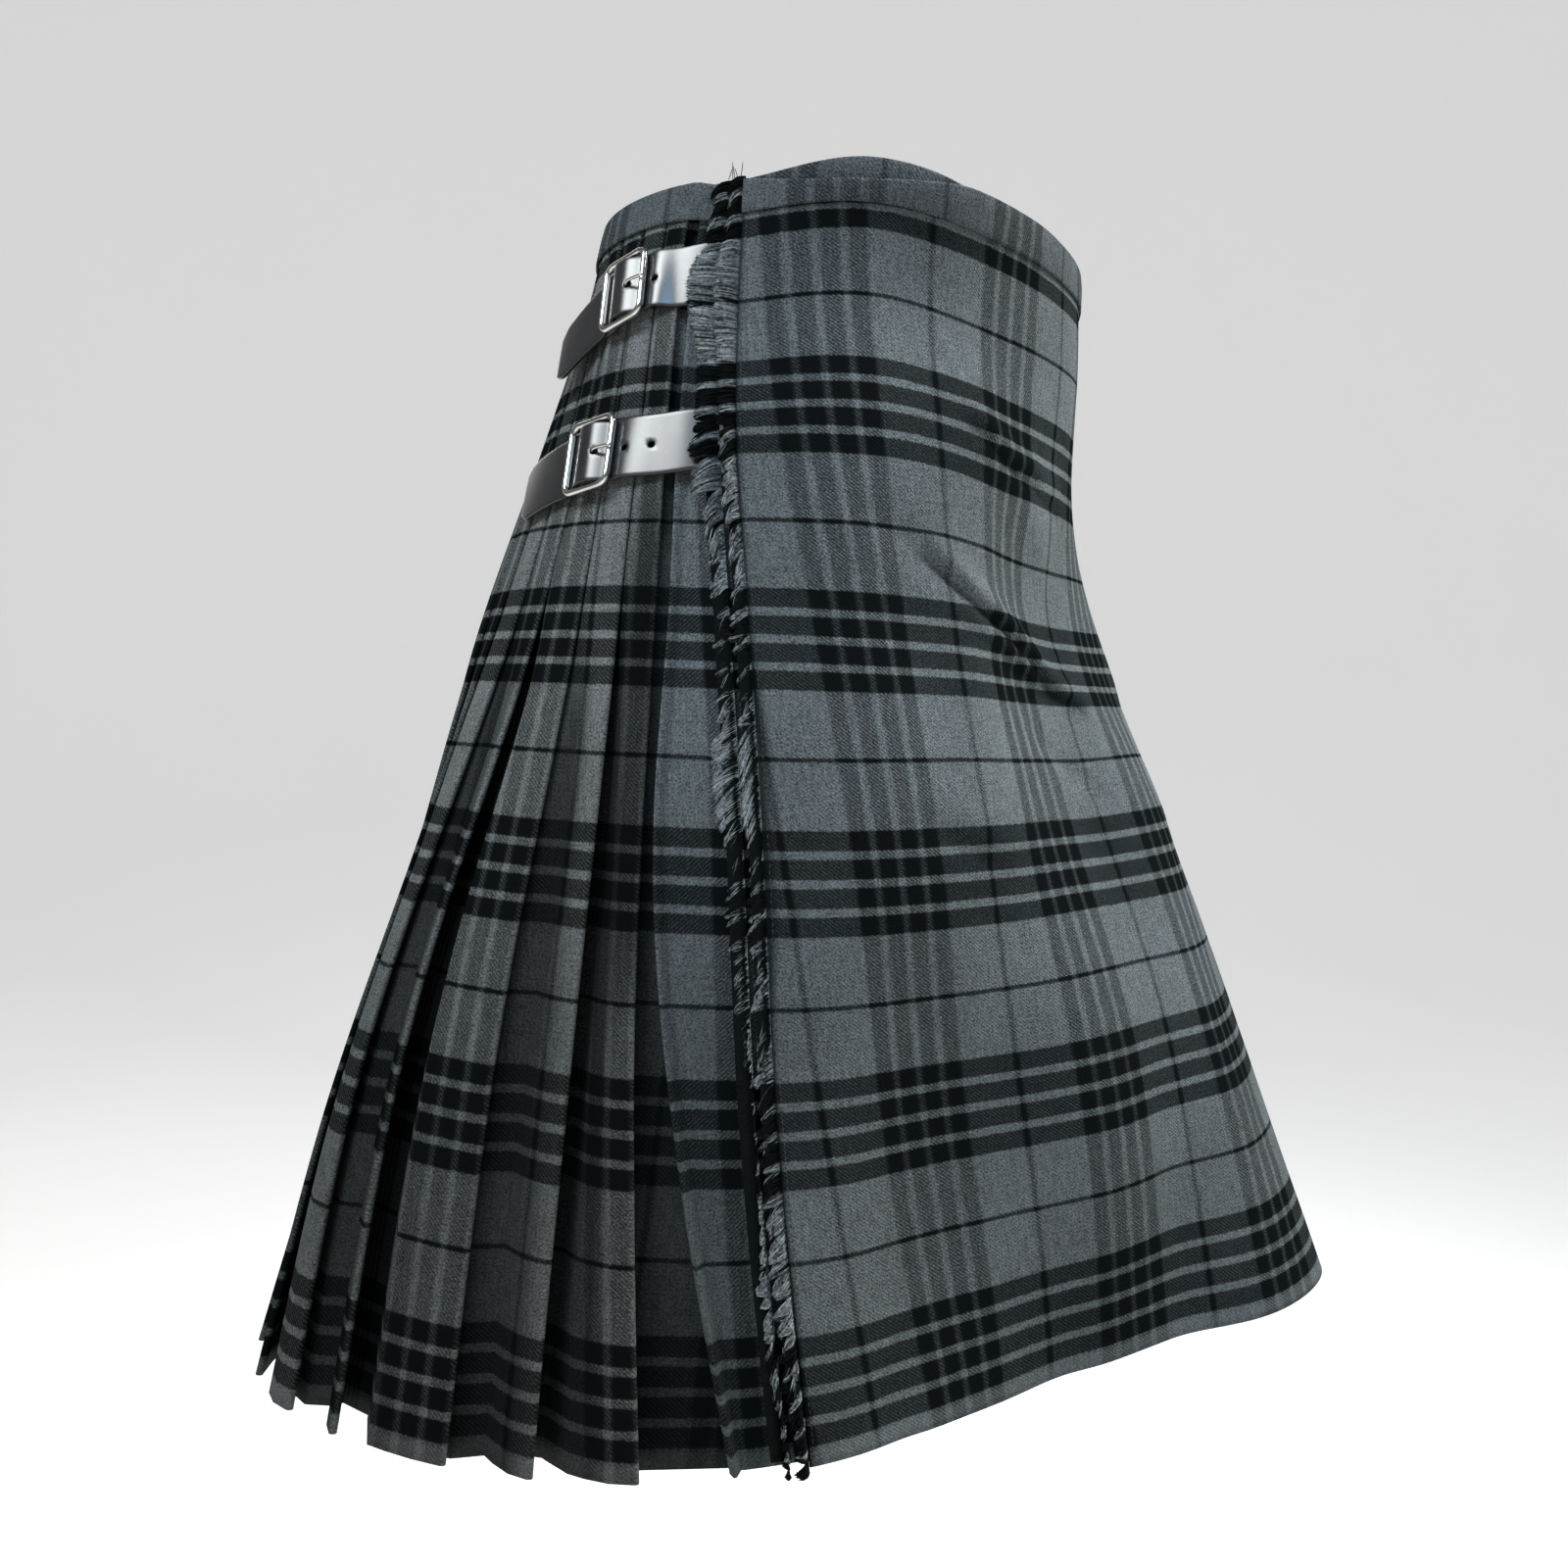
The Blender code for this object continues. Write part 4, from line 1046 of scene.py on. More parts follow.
@dataclass
class Panel:
    """A piece of cloth; it keeps the area of its sheet, in square metres."""

    area: float = field(default=0.0, init=False)

    def made_up(
        self, name: str, points: np.ndarray, shape: bmesh.types.BMesh, tartan: Tartan, wall: float = CUT.cloth
    ) -> bpy.types.Object:
        """Measure the sheet, dress it and give it its wall.

        Args:
            name: the piece's name.
            points: rows by columns of x, y, z in metres.
            shape: the surface laid through them.
            tartan: its finish.
            wall: its thickness in mm.

        Returns:
            The piece.
        """
        self.area = area_of(points)
        piece = finished(name, shape, tartan)
        thicken(piece, wall)
        return piece


@dataclass
class OverApron(Panel):
    """The outer front panel: a cut edge under the fringe, a folded left edge, a strap slit."""

    step: float = 3.1
    columns: int = 150
    # mm behind the cut edge of the first columns, which lie closer
    first_columns: tuple = (0.0, 1.0, 2.2, 3.6, 5.5, 8.5)
    turn_columns: int = 8
    # u at the cut edge, and how it changes down the edge, which is cut a little askew
    u_start: float = 35.3
    u_lean: float = 0.0975
    lean_from: float = 28.0
    # the weave is eased in at the waist and stretched at the hem: drop, share
    ease_in: tuple = ((0, 0.905), (26, 0.915), (120, 0.935), (240, 0.975), (600, 1.035), (620, 1.037))
    slit_below_band: float = 12.0
    # painted shade: darker towards the hem, and a dark strip along its cut edge where the fringe stands off
    # it
    low_shade: tuple = (0.15, 280.0, 480.0)
    edge_wide: float = 1.6
    edge_wider: tuple = (4.0, 230.0, 290.0)
    edge_wider_ends: tuple = (1.0, 360.0, 420.0)
    # creases that show only in the cloth: bearing and drop of both ends, height, width in mm
    creases: tuple = (
        (-62, 168, -40, 208, -1.6, 8.0),
        (-20, 268, 14, 330, -2.2, 9.0),
        (-64, 150, -52, 330, 1.1, 13.0),
        (-46, 330, -40, 600, 2.4, 17.0),
        (-58, 380, -55, 606, -1.8, 13.0),
        (-20, 360, -14, 604, 2.2, 20.0),
        (-4, 380, 2, 606, -2.2, 16.0),
        (14, 350, 13, 606, 2.6, 16.0),
        (36, 330, 36, 606, 2.8, 17.0),
        (54, 300, 52, 606, 2.4, 18.0),
        (72, 280, 68, 606, -2.6, 16.0),
        (84, 320, 80, 606, 2.2, 15.0),
        (30, 60, 62, 120, -1.2, 14.0),
    )
    # crisp folds that hang from the hip, each a groove under a raised lip: bearing and drop of
    # both ends, depth of the groove, its width, painted shade along it
    folds: tuple = (
        (-51, 190, -8, 243, 2.8, 3.2, 0.85),
        (-14, 238, 12, 266, 2.0, 3.4, 0.75),
        (-40, 121, -6, 140, 1.8, 3.4, 0.75),
        (-13, 133, 12, 150, 1.2, 4.0, 0.3),
        (-52, 318, -34, 352, 1.3, 6.0, 0.12),
    )
    # a crisp fold's line wanders by this many mm, and this fast along it
    wander: tuple = (2.2, 7.0)
    # its lip, in depths and widths of the groove: height, distance above, half width
    lip: tuple = (1.1, 2.3, 2.0)
    # its painted shade: mm below the line, and half width in widths of the groove
    fold_shade: tuple = (0.3, 0.62)
    # mm from the cut edge in which the relief grows to its full height
    still: float = 30.0

    def folded(self, drop: float, arcs: np.ndarray) -> tuple[np.ndarray, np.ndarray]:
        """Raise the cloth at its crisp folds and paint shade along them.

        Args:
            drop: row of the cloth.
            arcs: places along it.

        Returns:
            Height in mm and painted shade from 0 to 1, one each for every place.
        """
        at = FALL.bearing_of(drop, arcs)
        high, shade = np.zeros(len(arcs)), np.zeros(len(arcs))
        (wander, pace), (lip, above, lip_wide), (below, shade_wide) = self.wander, self.lip, self.fold_shade
        for *ends, deep, wide, dark in self.folds:
            way, side = FALL.along_line(at, drop, ends)
            side = side - wander * np.sin(pace * way + ends[0])
            fade = np.sqrt(np.clip(1.0 - (2.0 * way - 1.0) ** 2, 0.0, 1.0))
            raised = lip * np.exp(-(((side + above * wide) / (lip_wide * wide)) ** 2))
            high += deep * fade * (raised - np.exp(-((side / wide) ** 2)))
            shade = np.maximum(shade, dark * fade * np.exp(-(((side - below) / (shade_wide * wide)) ** 2)))
        return high, shade

    def relief(self, drop: float, arcs: np.ndarray) -> np.ndarray:
        """How far the creases raise the cloth here, in mm.

        Args:
            drop: the row.
            arcs: places along it.

        Returns:
            Height at each place.
        """
        at = FALL.bearing_of(drop, arcs)
        total = flutter(drop, arcs)
        for *ends, high, wide in self.creases:
            way, side = FALL.along_line(at, drop, ends)
            # a crease that reaches the hem stays open there
            fade = np.clip(1 - (2 * np.clip(way, 0, 1) - 1) ** 2, 0, 1)
            if ends[3] > 600:
                fade = np.clip(way * 1.8, 0, 1)
            fade = np.where(way < 0, 0, fade) ** 0.8
            total = total + high * fade * np.exp(-((side / wide) ** 2))
        return total * np.clip(arcs / self.still, 0.0, 1.0)

    def build(self) -> bpy.types.Object:
        """Lay the cloth row by row, cut the slit and turn the left edge under.

        Returns:
            The panel.
        """
        low = CUT.band_tall + self.slit_below_band
        slit_drops = (low, low + CUT.slit_tall)
        drops = spread((0.0, CUT.band_row, *slit_drops, FALL.hem), self.step)
        near = np.array(self.first_columns)
        half, turned = CUT.layer / 2, self.turn_columns
        turn_levels = np.concatenate([[-half * 0.3, -half, -half * 1.7], np.full(turned, -CUT.layer)])
        rows, uvs, tones = [], [], []
        for drop in drops:
            top = max(float(drop), CUT.panel_top)
            left, slit = FALL.arc_of(top, CUT.apron_left), FALL.arc_of(top, CUT.slit_bearing)
            slit_edges = (slit - CUT.slit_wide / 2, slit + CUT.slit_wide / 2)
            body = np.linspace(near[-1], slit_edges[0], self.columns)[1:]
            past = np.linspace(slit_edges[1], left - 1.2, 10)
            turn = np.linspace(left - 1.2, left - CUT.apron_turn, turned)
            arcs = np.concatenate([near, body, [slit], past, [left - 0.3, left, left - 0.3], turn])
            levels = np.concatenate([np.zeros(len(arcs) - len(turn_levels)), turn_levels])
            lip, shade = self.folded(top, arcs)
            levels = levels + self.relief(top, arcs) + lip
            places = FALL.lay(top, arcs, levels)
            if drop < CUT.band_row:
                dip = CUT.sagging(arcs, CUT.sag) * (1 - drop / CUT.band_row)
                places = np.array([FALL.spot(top + d, a, n) for d, a, n in zip(dip, arcs, levels)])
            rows.append(places)
            back = turned + 1
            cloth = np.concatenate([arcs[:-back], 2 * left - arcs[-back:]])
            u = (cloth - self.u_start - self.u_lean * (top - self.lean_from)) * column(self.ease_in, 1, top)
            uvs.append(np.stack([u, np.full(len(arcs), top)], axis=1) * MM)
            # painted shade along the cut edge, at the crisp folds and towards the hem, carried in the "tone"
            # attribute
            wide = self.edge_wide + grown(self.edge_wider, top) * (1.0 - grown(self.edge_wider_ends, top))
            shade = np.maximum(shade, grown(self.low_shade, top))
            tones.append(np.maximum(np.clip(1.25 - arcs / wide, 0.0, 1.0), shade))
        points = np.array(rows)
        shape = grid(points, np.array(uvs), np.array(tones))
        first, last = np.searchsorted(drops, [at - 0.1 for at in slit_drops])
        slit_col = len(near) + self.columns - 2
        hole = points[first : last + 1, slit_col : slit_col + 3].reshape(-1, 3)
        lows, highs = hole.min(axis=0) - 1e-6, hole.max(axis=0) + 1e-6
        inside = []
        for face in shape.faces:
            middle = np.array(face.calc_center_median())
            if (middle > lows).all() and (middle < highs).all():
                inside.append(face)
        bmesh.ops.delete(shape, geom=inside, context="FACES")
        return self.made_up("over_apron_cloth", points, shape, APRON_TARTAN)


@dataclass
class UnderApron(Panel):
    """The inner front panel, whose right end shows beside the fringe as a flat pleat."""

    step: float = 5.0
    u_start: float = 3.5
    # mm before the fold where the flat pleat's face starts to rise, and where it is up
    rise_from: float = 5.0
    rise_to: float = 1.2
    low_rise: tuple = (3.0, FALL.fell, FALL.hem)
    face_columns: tuple = (0.6, 1.2, 2.4, 3.6, 5.0, 7.0)
    # painted shade, darker towards the hem: full value, and the drops it grows between
    low_shade: tuple = (0.5, 260.0, 500.0)

    def face_level(self, drop: float, back: np.ndarray) -> np.ndarray:
        """Level of the cloth this far behind the over apron's edge.

        Args:
            drop: the row.
            back: mm behind the edge.

        Returns:
            Level in mm at each place.
        """
        fold = CUT.side_folds(drop)[0]
        rise = CUT.side_rise + grown(self.low_rise, drop)
        flat, raised = fold - self.rise_from, fold - self.rise_to
        return CUT.under_level + rise * np.clip((back - flat) / (raised - flat), 0.0, 1.0)

    def build(self) -> bpy.types.Object:
        """Lay the turned end, its fold and the face that runs under the over apron.

        Returns:
            The panel.
        """
        rows, uvs, tones = [], [], []
        for drop in spread((0.0, CUT.band_row, FALL.hem), self.step):
            top = max(float(drop), CUT.panel_top)
            fold = CUT.side_folds(top)[0]
            under = np.linspace(fold - CUT.side_turn, fold - 1.4, 9)
            face = np.concatenate([fold - np.array(self.face_columns), np.linspace(fold - 9.0, 0.0, 12)])
            left = FALL.arc_of(top, CUT.under_left)
            arcs = np.concatenate([-under, [-fold], -face, np.linspace(0.0, left, 84)[1:]])
            at_fold = len(under)
            levels = np.full(len(arcs), CUT.under_level)
            levels[:at_fold] -= CUT.layer
            fold_level = self.face_level(top, np.array([fold]))[0]
            levels[at_fold] = (fold_level + CUT.under_level - CUT.layer) / 2
            levels[at_fold + 1 : at_fold + 1 + len(face)] = self.face_level(top, face)
            places = FALL.lay(top, arcs, levels)
            places[:, 2] += CUT.sagging(arcs, CUT.peek) * max(0.0, 1 - drop / CUT.band_row) * MM
            rows.append(places)
            walked = walk(np.stack([arcs, levels], axis=1))
            # painted shade, darker towards the hem, carried in the "tone" attribute
            tones.append(np.full(len(arcs), grown(self.low_shade, top)))
            u = self.u_start + fold - (walked - walked[at_fold])
            uvs.append(np.stack([u, np.full(len(arcs), top)], axis=1) * MM)
        points = np.array(rows)
        shape = grid(points, np.array(uvs), np.array(tones))
        return self.made_up("under_apron_cloth", points, shape, APRON_TARTAN)


@dataclass
class Pleats(Panel):
    """The back panel: knife pleats, stitched flat above the fell and springing out below it."""

    step: float = 7.5
    # u at the first folds, and how it changes a pleat from there; the check runs back from each fold
    phases: tuple = (0.0, -40.75, 13.1, 0.0, -30.0, -8.0, 21.0)
    phase_step: float = -47.3
    # rows that the panel has whatever its step
    kept_rows: tuple = (CUT.band_row, 60.0, CUT.dart_drop, 205.0, 235.0, CUT.loose_drop)
    # mm past the flat pleat's fold of the panel's first columns, which lie in the recess behind it
    recess: tuple = (-24.0, -14.0, -5.0, 1.0)
    # points of a pleat from the end of its inner lap to its fold, and from the fold to its end
    lap_points: int = 4
    face_points: int = 7
    least_lift: float = 2.06
    # how far the first pleat lies sunk, and the drops that this starts and ends between
    sunk: tuple = (2.6, 120.0, 200.0)
    sunk_ends: tuple = (1.0, 370.0, 450.0)
    # painted shade: where the cloth lies deep, lower down, on the sunk pleat and in the recess
    deep_shade: tuple = (0.9, 90.0, 240.0)
    low_shade: tuple = (0.42, 240.0, 520.0)
    most_shade: float = 0.95
    sunk_shade: float = 0.78
    recess_shade: float = 0.97

    def lifts(self, drop: float, layer: float, count: int) -> list[float]:
        """How far each pleat's fold stands out from the cloth beside it.

        Args:
            drop: the row.
            layer: thickness of a layer there.
            count: how many pleats.

        Returns:
            One distance in mm a pleat.
        """
        lift = column(CUT.pleat_lift, 1, drop)
        loose = ease(CUT.dart_drop, CUT.loose_drop, drop)
        shares = CUT.lift_shares + tuple(0.95 + 0.2 * math.sin(2.1 * k) for k in range(count))
        return [max(lift * (1 + loose * (share - 1)), self.least_lift * layer) for share in shares[:count]]

    def phase(self, pleat: int) -> float:
        """u at this pleat's fold."""
        if pleat < len(self.phases):
            return self.phases[pleat]
        return (self.phase_step * pleat) % CUT.sett

    def row(self, drop: float) -> tuple[np.ndarray, np.ndarray, np.ndarray]:
        """One row of cloth.

        Args:
            drop: mm below the waist top.

        Returns:
            Distances behind the apron's edge, levels, and u in mm.
        """
        edges = CUT.pleat_edges(drop)
        layer = CUT.layer + 0.07 * (column(CUT.pleat_lift, 1, drop) - CUT.pleat_lift[0][1])
        lifts = self.lifts(drop, layer, len(edges))
        fold = CUT.side_folds(drop)[0]
        low = CUT.under_level - 2 * CUT.layer
        loose = ease(CUT.dart_drop, FALL.hem, drop)
        opened = ease(FALL.fell - 20.0, FALL.fell + 45.0, drop)
        path = [(fold + past, low) for past in self.recess]
        # where each pleat's fold stands in the path
        marks = []
        for k, edge in enumerate(edges):
            base = -lifts[k]
            if k == len(edges) - 1:
                path += [(edge - 1.0, base), (edge + 3.0, base), (edge + 8.0, base)]
                break
            gap = edges[k + 1] - edge
            deep = CUT.pleat_depth * gap
            marks.append(len(path) + self.face_points + bool(k))
            bulge = 0.10 * loose * min(gap, 24.0) * (0.5 + 0.5 * math.sin(1.9 * k + 0.4))
            if k:
                # the face stays up to the next fold above the fell, and falls away from it below
                before = (edges[k - 1] + CUT.pleat_depth * (edge - edges[k - 1]), -lifts[k - 1] + 2 * layer)
                on_line = before[1] + (base - before[1]) * (edge - 1.4 - before[0]) / (edge + 0.5 - before[0])
                path.append((edge - 1.4, -1.5 + (on_line + 1.5) * opened))
            path += [
                (edge + 0.5, base),
                (edge + deep - 1.2, base),
                (edge + deep, base + layer / 2),
                (edge + deep - 1.2, base + layer),
                (edge + deep * 0.55, base / 2),
                (edge + 1.6, -layer),
                (edge + 0.3, -layer * 0.85),
                (edge, -layer / 2),
                (edge + 0.3, -layer * 0.15),
                (edge + 1.6, 0.0),
                (edge + deep * 0.4, (base + 2 * layer) * 0.34 + bulge),
                (edge + deep * 0.75, (base + 2 * layer) * 0.74 + bulge * 0.8),
                (edge + deep, base + 2 * layer),
            ]
        back, level = np.array(path).T
        walked = walk(np.array(path))
        knots, values = [0.0], [self.phase(0) + walked[marks[0]]]
        for k, mark in enumerate(marks):
            lap = walked[mark] - walked[mark - self.lap_points]
            end = mark + self.face_points if k + 1 < len(marks) else len(path) - 1
            knots += [walked[mark - self.lap_points], walked[mark], walked[end]]
            here = self.phase(k)
            values += [here + lap, here, here - walked[end] + walked[mark]]
        return back, level, np.interp(walked, knots, values)

    def build(self) -> bpy.types.Object:
        """Lay the rows and paint shade on what lies deep between the pleats.

        Returns:
            The panel.
        """
        rows, uvs, tones = [], [], []
        for drop in spread((0.0, *self.kept_rows, FALL.hem), self.step):
            top = max(float(drop), CUT.panel_top)
            back, level, u = self.row(top)
            # the first pleat lies sunk behind the flat pleat where that one rolls over it
            sunk = ease(*self.sunk[1:], top) * (1.0 - grown(self.sunk_ends, top))
            edges = CUT.pleat_edges(top)
            first = np.clip((edges[1] - 3.0 - back) / 3.0, 0.0, 1.0)
            first = first * np.clip((back - edges[0] + 3.0) / 3.0, 0.0, 1.0)
            level = level - self.sunk[0] * sunk * first
            # painted shade where the cloth lies deep, darker towards the hem, and on the sunk first pleat
            most, *drops = self.deep_shade
            deep = np.clip((-level - 1.0) / 4.0, 0.0, most) * ease(*drops, top)
            deep = np.clip(deep + grown(self.low_shade, top), 0.0, self.most_shade)
            deep = np.maximum(deep, self.sunk_shade * sunk * first)
            # the recess between the flat pleat and the first one is in deep shade, painted near black
            shaded = max(ease(300.0, 390.0, top), ease(80.0, 125.0, top) * (1.0 - ease(180.0, 225.0, top)))
            past = len(self.recess) + 1
            deep[:past] = np.maximum(deep[:past], self.recess_shade * shaded)
            tones.append(deep[::-1])
            level = level + 0.35 * flutter(top, -back) * ease(200.0, FALL.hem, top)
            rows.append(FALL.lay(top, -back[::-1], level[::-1]))
            uvs.append(np.stack([u[::-1], np.full(len(u), top)], axis=1) * MM)
        points = np.array(rows)
        shape = grid(points, np.array(uvs), np.array(tones))
        return self.made_up("pleats_cloth", points, shape, PLEAT_TARTAN)


@dataclass
class Waistband(Panel):
    """One strip folded over the top edges, from the fringe round the back to the under apron."""

    # mm from the cloth's middle to the strip's
    out: float = 1.55
    # drop at which its length is measured, and u at its start
    measured_at: float = 10.0
    u_start: float = -47.0
    # stations along the over apron, the pleats and the under apron
    front: int = 84
    back: int = 96
    under: int = 70
    # share of the over apron's top, from the cut edge, that the front part runs over
    front_share: tuple = (0.98, 0.945)
    # mm past the flat pleat's fold at which the strip leaves the pleats
    leave: float = 12.0
    # the top fold's place in a section of 11 points
    top_fold: int = 6

    def stations(self) -> list[tuple[Callable[[float], float], float, float, str]]:
        """Arc at a drop, outer level, inner level and part, of each place along the strip.

        Returns:
            One such row a station.
        """
        out, face = self.out, CUT.under_level
        pleats_in = -2 * CUT.layer - out - 0.6
        fold = CUT.side_folds(self.measured_at)[0]
        made = []
        for k in range(self.front + 1):
            share = self.front_share[0] * k / self.front
            place = lambda d, s=share: s * FALL.arc_of(d, CUT.apron_left) * self.front_share[1]
            made.append((place, out, -out, "front"))
        for short, inner in ((26.0, -out - 1.8), (13.0, -out - 1.8), (8.0, pleats_in)):
            made.append((lambda d, s=short: FALL.arc_of(d, CUT.apron_left) - s, out, inner, "turn"))
        for k in range(self.back + 1):
            share = k / self.back
            place = lambda d, s=share: (1 - s) * FALL.arc_of(d, CUT.back_end) - s * (fold + self.leave)
            made.append((place, out + 0.35, pleats_in, "back"))
        low = face - 2 * CUT.layer - out - 0.5
        for back, outer in (
            (fold + 3.0, out),
            (fold - 0.5, face + CUT.side_rise + 2.4 + out),
            (fold - 5.0, face + 0.5 + out),
            (fold - 14.0, face + 0.2 + out),
            (fold - 24.0, face + 0.2 + out),
        ):
            made.append((lambda d, b=back: -b, outer, low, "dive"))
        for k in range(self.under + 1):
            share = k / self.under
            place = lambda d, s=share: s * FALL.arc_of(d, CUT.under_left)
            made.append((place, face + out, face - out, "under"))
        return made

    def build(self) -> bpy.types.Object:
        """Lay the outer leg, the rounded top fold and the inner leg at every station.

        Returns:
            The band.
        """
        rows, uvs = [], []
        walked, before = 0.0, None
        for place, outer, inner, part in self.stations():
            arc = place(self.measured_at)
            low = float(CUT.sagging(arc, CUT.sag)) if part == "front" else 0.0
            rise = float(CUT.sagging(arc, CUT.peek)) if part == "under" else 0.0
            tall = CUT.band_tall - low
            soft = 0.18 * math.sin(arc / 9.0) + 0.12 * math.sin(arc / 4.1 + 1.0)
            # drop, level and rise of each point, from the outer leg's lower edge to the inner leg's
            section = [
                (low + tall, outer - 0.25, 0.0),
                (low + tall * 0.93, outer + 0.1, 0.0),
                (low + tall * 0.7, outer + 0.25 + soft, 0.0),
                (low + tall * 0.4, outer + 0.2 - soft, rise * 0.5),
                (low + 1.2, outer, rise),
                (low + 0.3, outer - 0.35, rise),
                (low, outer * 0.5 + inner * 0.5, rise),
                (low + 0.3, inner + 0.35, rise),
                (low + 1.2, inner, rise),
                (low + tall * 0.5, inner, 0.0),
                (CUT.band_tall - 2.0, inner, 0.0),
            ]
            here = FALL.spot(self.measured_at, arc, outer)
            walked += 0.0 if before is None else float(np.linalg.norm(here - before)) / MM
            before = here
            lift = np.array([0.0, 0.0, MM])
            rows.append([FALL.spot(drop, place(drop), level) + up * lift for drop, level, up in section])
            legs = [drop if k < self.top_fold else -drop for k, (drop, _, _) in enumerate(section)]
            uvs.append([((walked + self.u_start) * MM, leg * MM) for leg in legs])
        points = np.array(rows).transpose(1, 0, 2)[::-1]
        shape = grid(points, np.array(uvs).transpose(1, 0, 2)[::-1])
        return self.made_up("waistband_cloth", points, shape, BAND_TARTAN, CUT.band_wall)


# ---- yarn ----------------------------------------------------------------------------------------
class CutEdge:
    """Places near the over apron's cut edge, read from a table of the outline."""

    step: ClassVar[float] = 2.0
    ahead: ClassVar[float] = 4.0
    behind: ClassVar[float] = 46.0
    kept: ClassVar[dict] = {}

    @classmethod
    def lie(cls, drops: np.ndarray, backs: np.ndarray, levels: np.ndarray) -> np.ndarray:
        """Places of many points.

        Args:
            drops: mm below the waist top.
            backs: mm behind the cut edge.
            levels: mm outside the outline.

        Returns:
            x, y and z in metres.
        """
        if not cls.kept:
            rows = np.arange(0.0, 640.0, cls.step)
            backs_kept = np.arange(-cls.ahead, cls.behind, cls.step)
            flat = np.array([FALL.lay(row, -backs_kept) for row in rows])
            cls.kept["flat"] = flat
            cls.kept["out"] = np.array([FALL.lay(row, -backs_kept, 1.0) for row in rows]) - flat
        table, out = cls.kept["flat"], cls.kept["out"]
        i = np.clip(drops / cls.step, 0.0, len(table) - 1.001)
        j = np.clip((backs + cls.ahead) / cls.step, 0.0, table.shape[1] - 1.001)
        row, col = i.astype(int), j.astype(int)
        down, side = (i - row)[..., None], (j - col)[..., None]

        def read(values: np.ndarray) -> np.ndarray:
            """The table between its rows and columns."""
            upper = values[row, col] * (1 - side) + values[row, col + 1] * side
            lower = values[row + 1, col] * (1 - side) + values[row + 1, col + 1] * side
            return upper * (1 - down) + lower * down

        places = read(table) + read(out) * levels[..., None]
        places[..., 2] -= np.minimum(drops, 0.0) * MM
        return places


@dataclass
class Fringe:
    """Teased yarn on its backing: brushed flat near the waist, matted into drooping tufts below."""

    name: str
    # mm behind the cut edge where the yarn starts and where it ends
    start: float
    reach: float
    # level of its root, and level that it lies at
    root: float
    level: float
    seed: int
    # how much of the full reach the tufts have: drop, share
    spreads: tuple
    strands_a_mm: float = 4.4
    stations: int = 7
    # how far the tips hang below the roots: drop, droop
    droop: tuple = (
        (0, 5), (30, 3.5), (48, 0.6), (112, 0.8), (132, 5), (172, 9.5), (198, 10), (222, 5), (258, 7),
        (282, 13), (306, 12), (332, 9), (352, 5), (388, 8), (424, 9), (448, 6), (470, 5), (505, 7),
        (530, 5.5), (558, 9), (580, 7), (600, 3), (612, 2),
    )
    # 0 where the yarn lies brushed, 1 where it is matted, -1 where a tuft fans out: drop, matting
    matting: tuple = (
        (0, 0.8), (26, 0.5), (45, 0.0), (100, 0.05), (125, 0.7), (150, 1), (222, 1), (270, 0.8), (284, -1),
        (300, -0.9), (312, 0.6), (345, 1), (612, 1),
    )
    # how far it is lifted where it lies over a strap: drop, lift
    lifted: tuple = (
        (30, 0), (40, 2.9), (74, 2.9), (84, 0), (120, 0), (129, 2.9), (163, 2.9), (172, 0), (612, 0),
    )
    # v of a black thread, for the backing
    black_place: float = 15.0
    # radius of a strand: least, range, and share at each station
    thick: tuple = (0.27, 0.17)
    taper: tuple = (0.9, 1.1, 1.2, 1.2, 1.1, 0.9, 0.0)
    # the last tufts at the hem come from its black threads: from this drop on, and their v
    last_black: tuple = (603.0, 598.0)

    def tufts(self, rng: np.random.Generator) -> np.ndarray:
        """Middle, width and matting of each tuft down the edge.

        Args:
            rng: the source of their unevenness.

        Returns:
            The three as rows, one column a tuft.
        """
        rows, at = [], 0.8
        while at < FALL.hem + 1.0:
            matted = column(self.matting, 1, at)
            wide = (2.3 + 3.2 * abs(matted)) * rng.uniform(0.7, 1.3)
            rows.append((at + wide / 2, wide, matted))
            at += wide
        return np.array(rows).T

    def backing(self) -> bmesh.types.BMesh:
        """The narrow black tape that the tufts grow from.

        Returns:
            The closed tape.
        """
        drops = np.arange(1.0, FALL.hem + 1.0, 5.0)[:, None]
        low, high = self.start + 0.3, self.start + 0.55 * (self.reach - self.start)
        backs = np.array([[low, high, high, low, low]])
        levels = np.array([[self.root + 0.25, self.root, self.root - 0.3, self.root - 0.3, self.root + 0.25]])
        places = CutEdge.lie(drops + 0.0 * backs, backs + 0.0 * drops, levels + 0.0 * drops)
        shape = grid(places, np.full(places.shape[:2] + (2,), self.black_place * MM))
        bmesh.ops.remove_doubles(shape, verts=shape.verts, dist=1e-7)
        bmesh.ops.holes_fill(shape, edges=[e for e in shape.edges if e.is_boundary], sides=6)
        bmesh.ops.recalc_face_normals(shape, faces=shape.faces)
        return shape

    def build(self) -> bpy.types.Object:
        """Grow each tuft's strands, drawn together and twisted towards its tip.

        Returns:
            The layer.
        """
        rng = np.random.default_rng(self.seed)
        middles, wides, matting = self.tufts(rng)
        counts = np.round(wides * self.strands_a_mm).astype(int)
        total = int(counts.sum())
        own = np.repeat(rng.uniform(0.0, 1.0, (6, len(counts))), counts, axis=1)
        middle, wide = np.repeat(middles, counts), np.repeat(wides, counts)
        matted = np.clip(np.repeat(matting, counts), 0.0, 1.0)
        fan = np.clip(-np.repeat(matting, counts), 0.0, 1.0)
        each = rng.uniform(0.0, 1.0, (8, total))
        aside = (each[0] - 0.5) * wide * 1.15
        root = middle + aside
        droop = profile(self.droop, middle)
        droop = droop * (0.6 + 0.8 * own[0]) + (own[1] - 0.5) * (1.2 + 3.0 * matted)
        share = profile(self.spreads, middle)
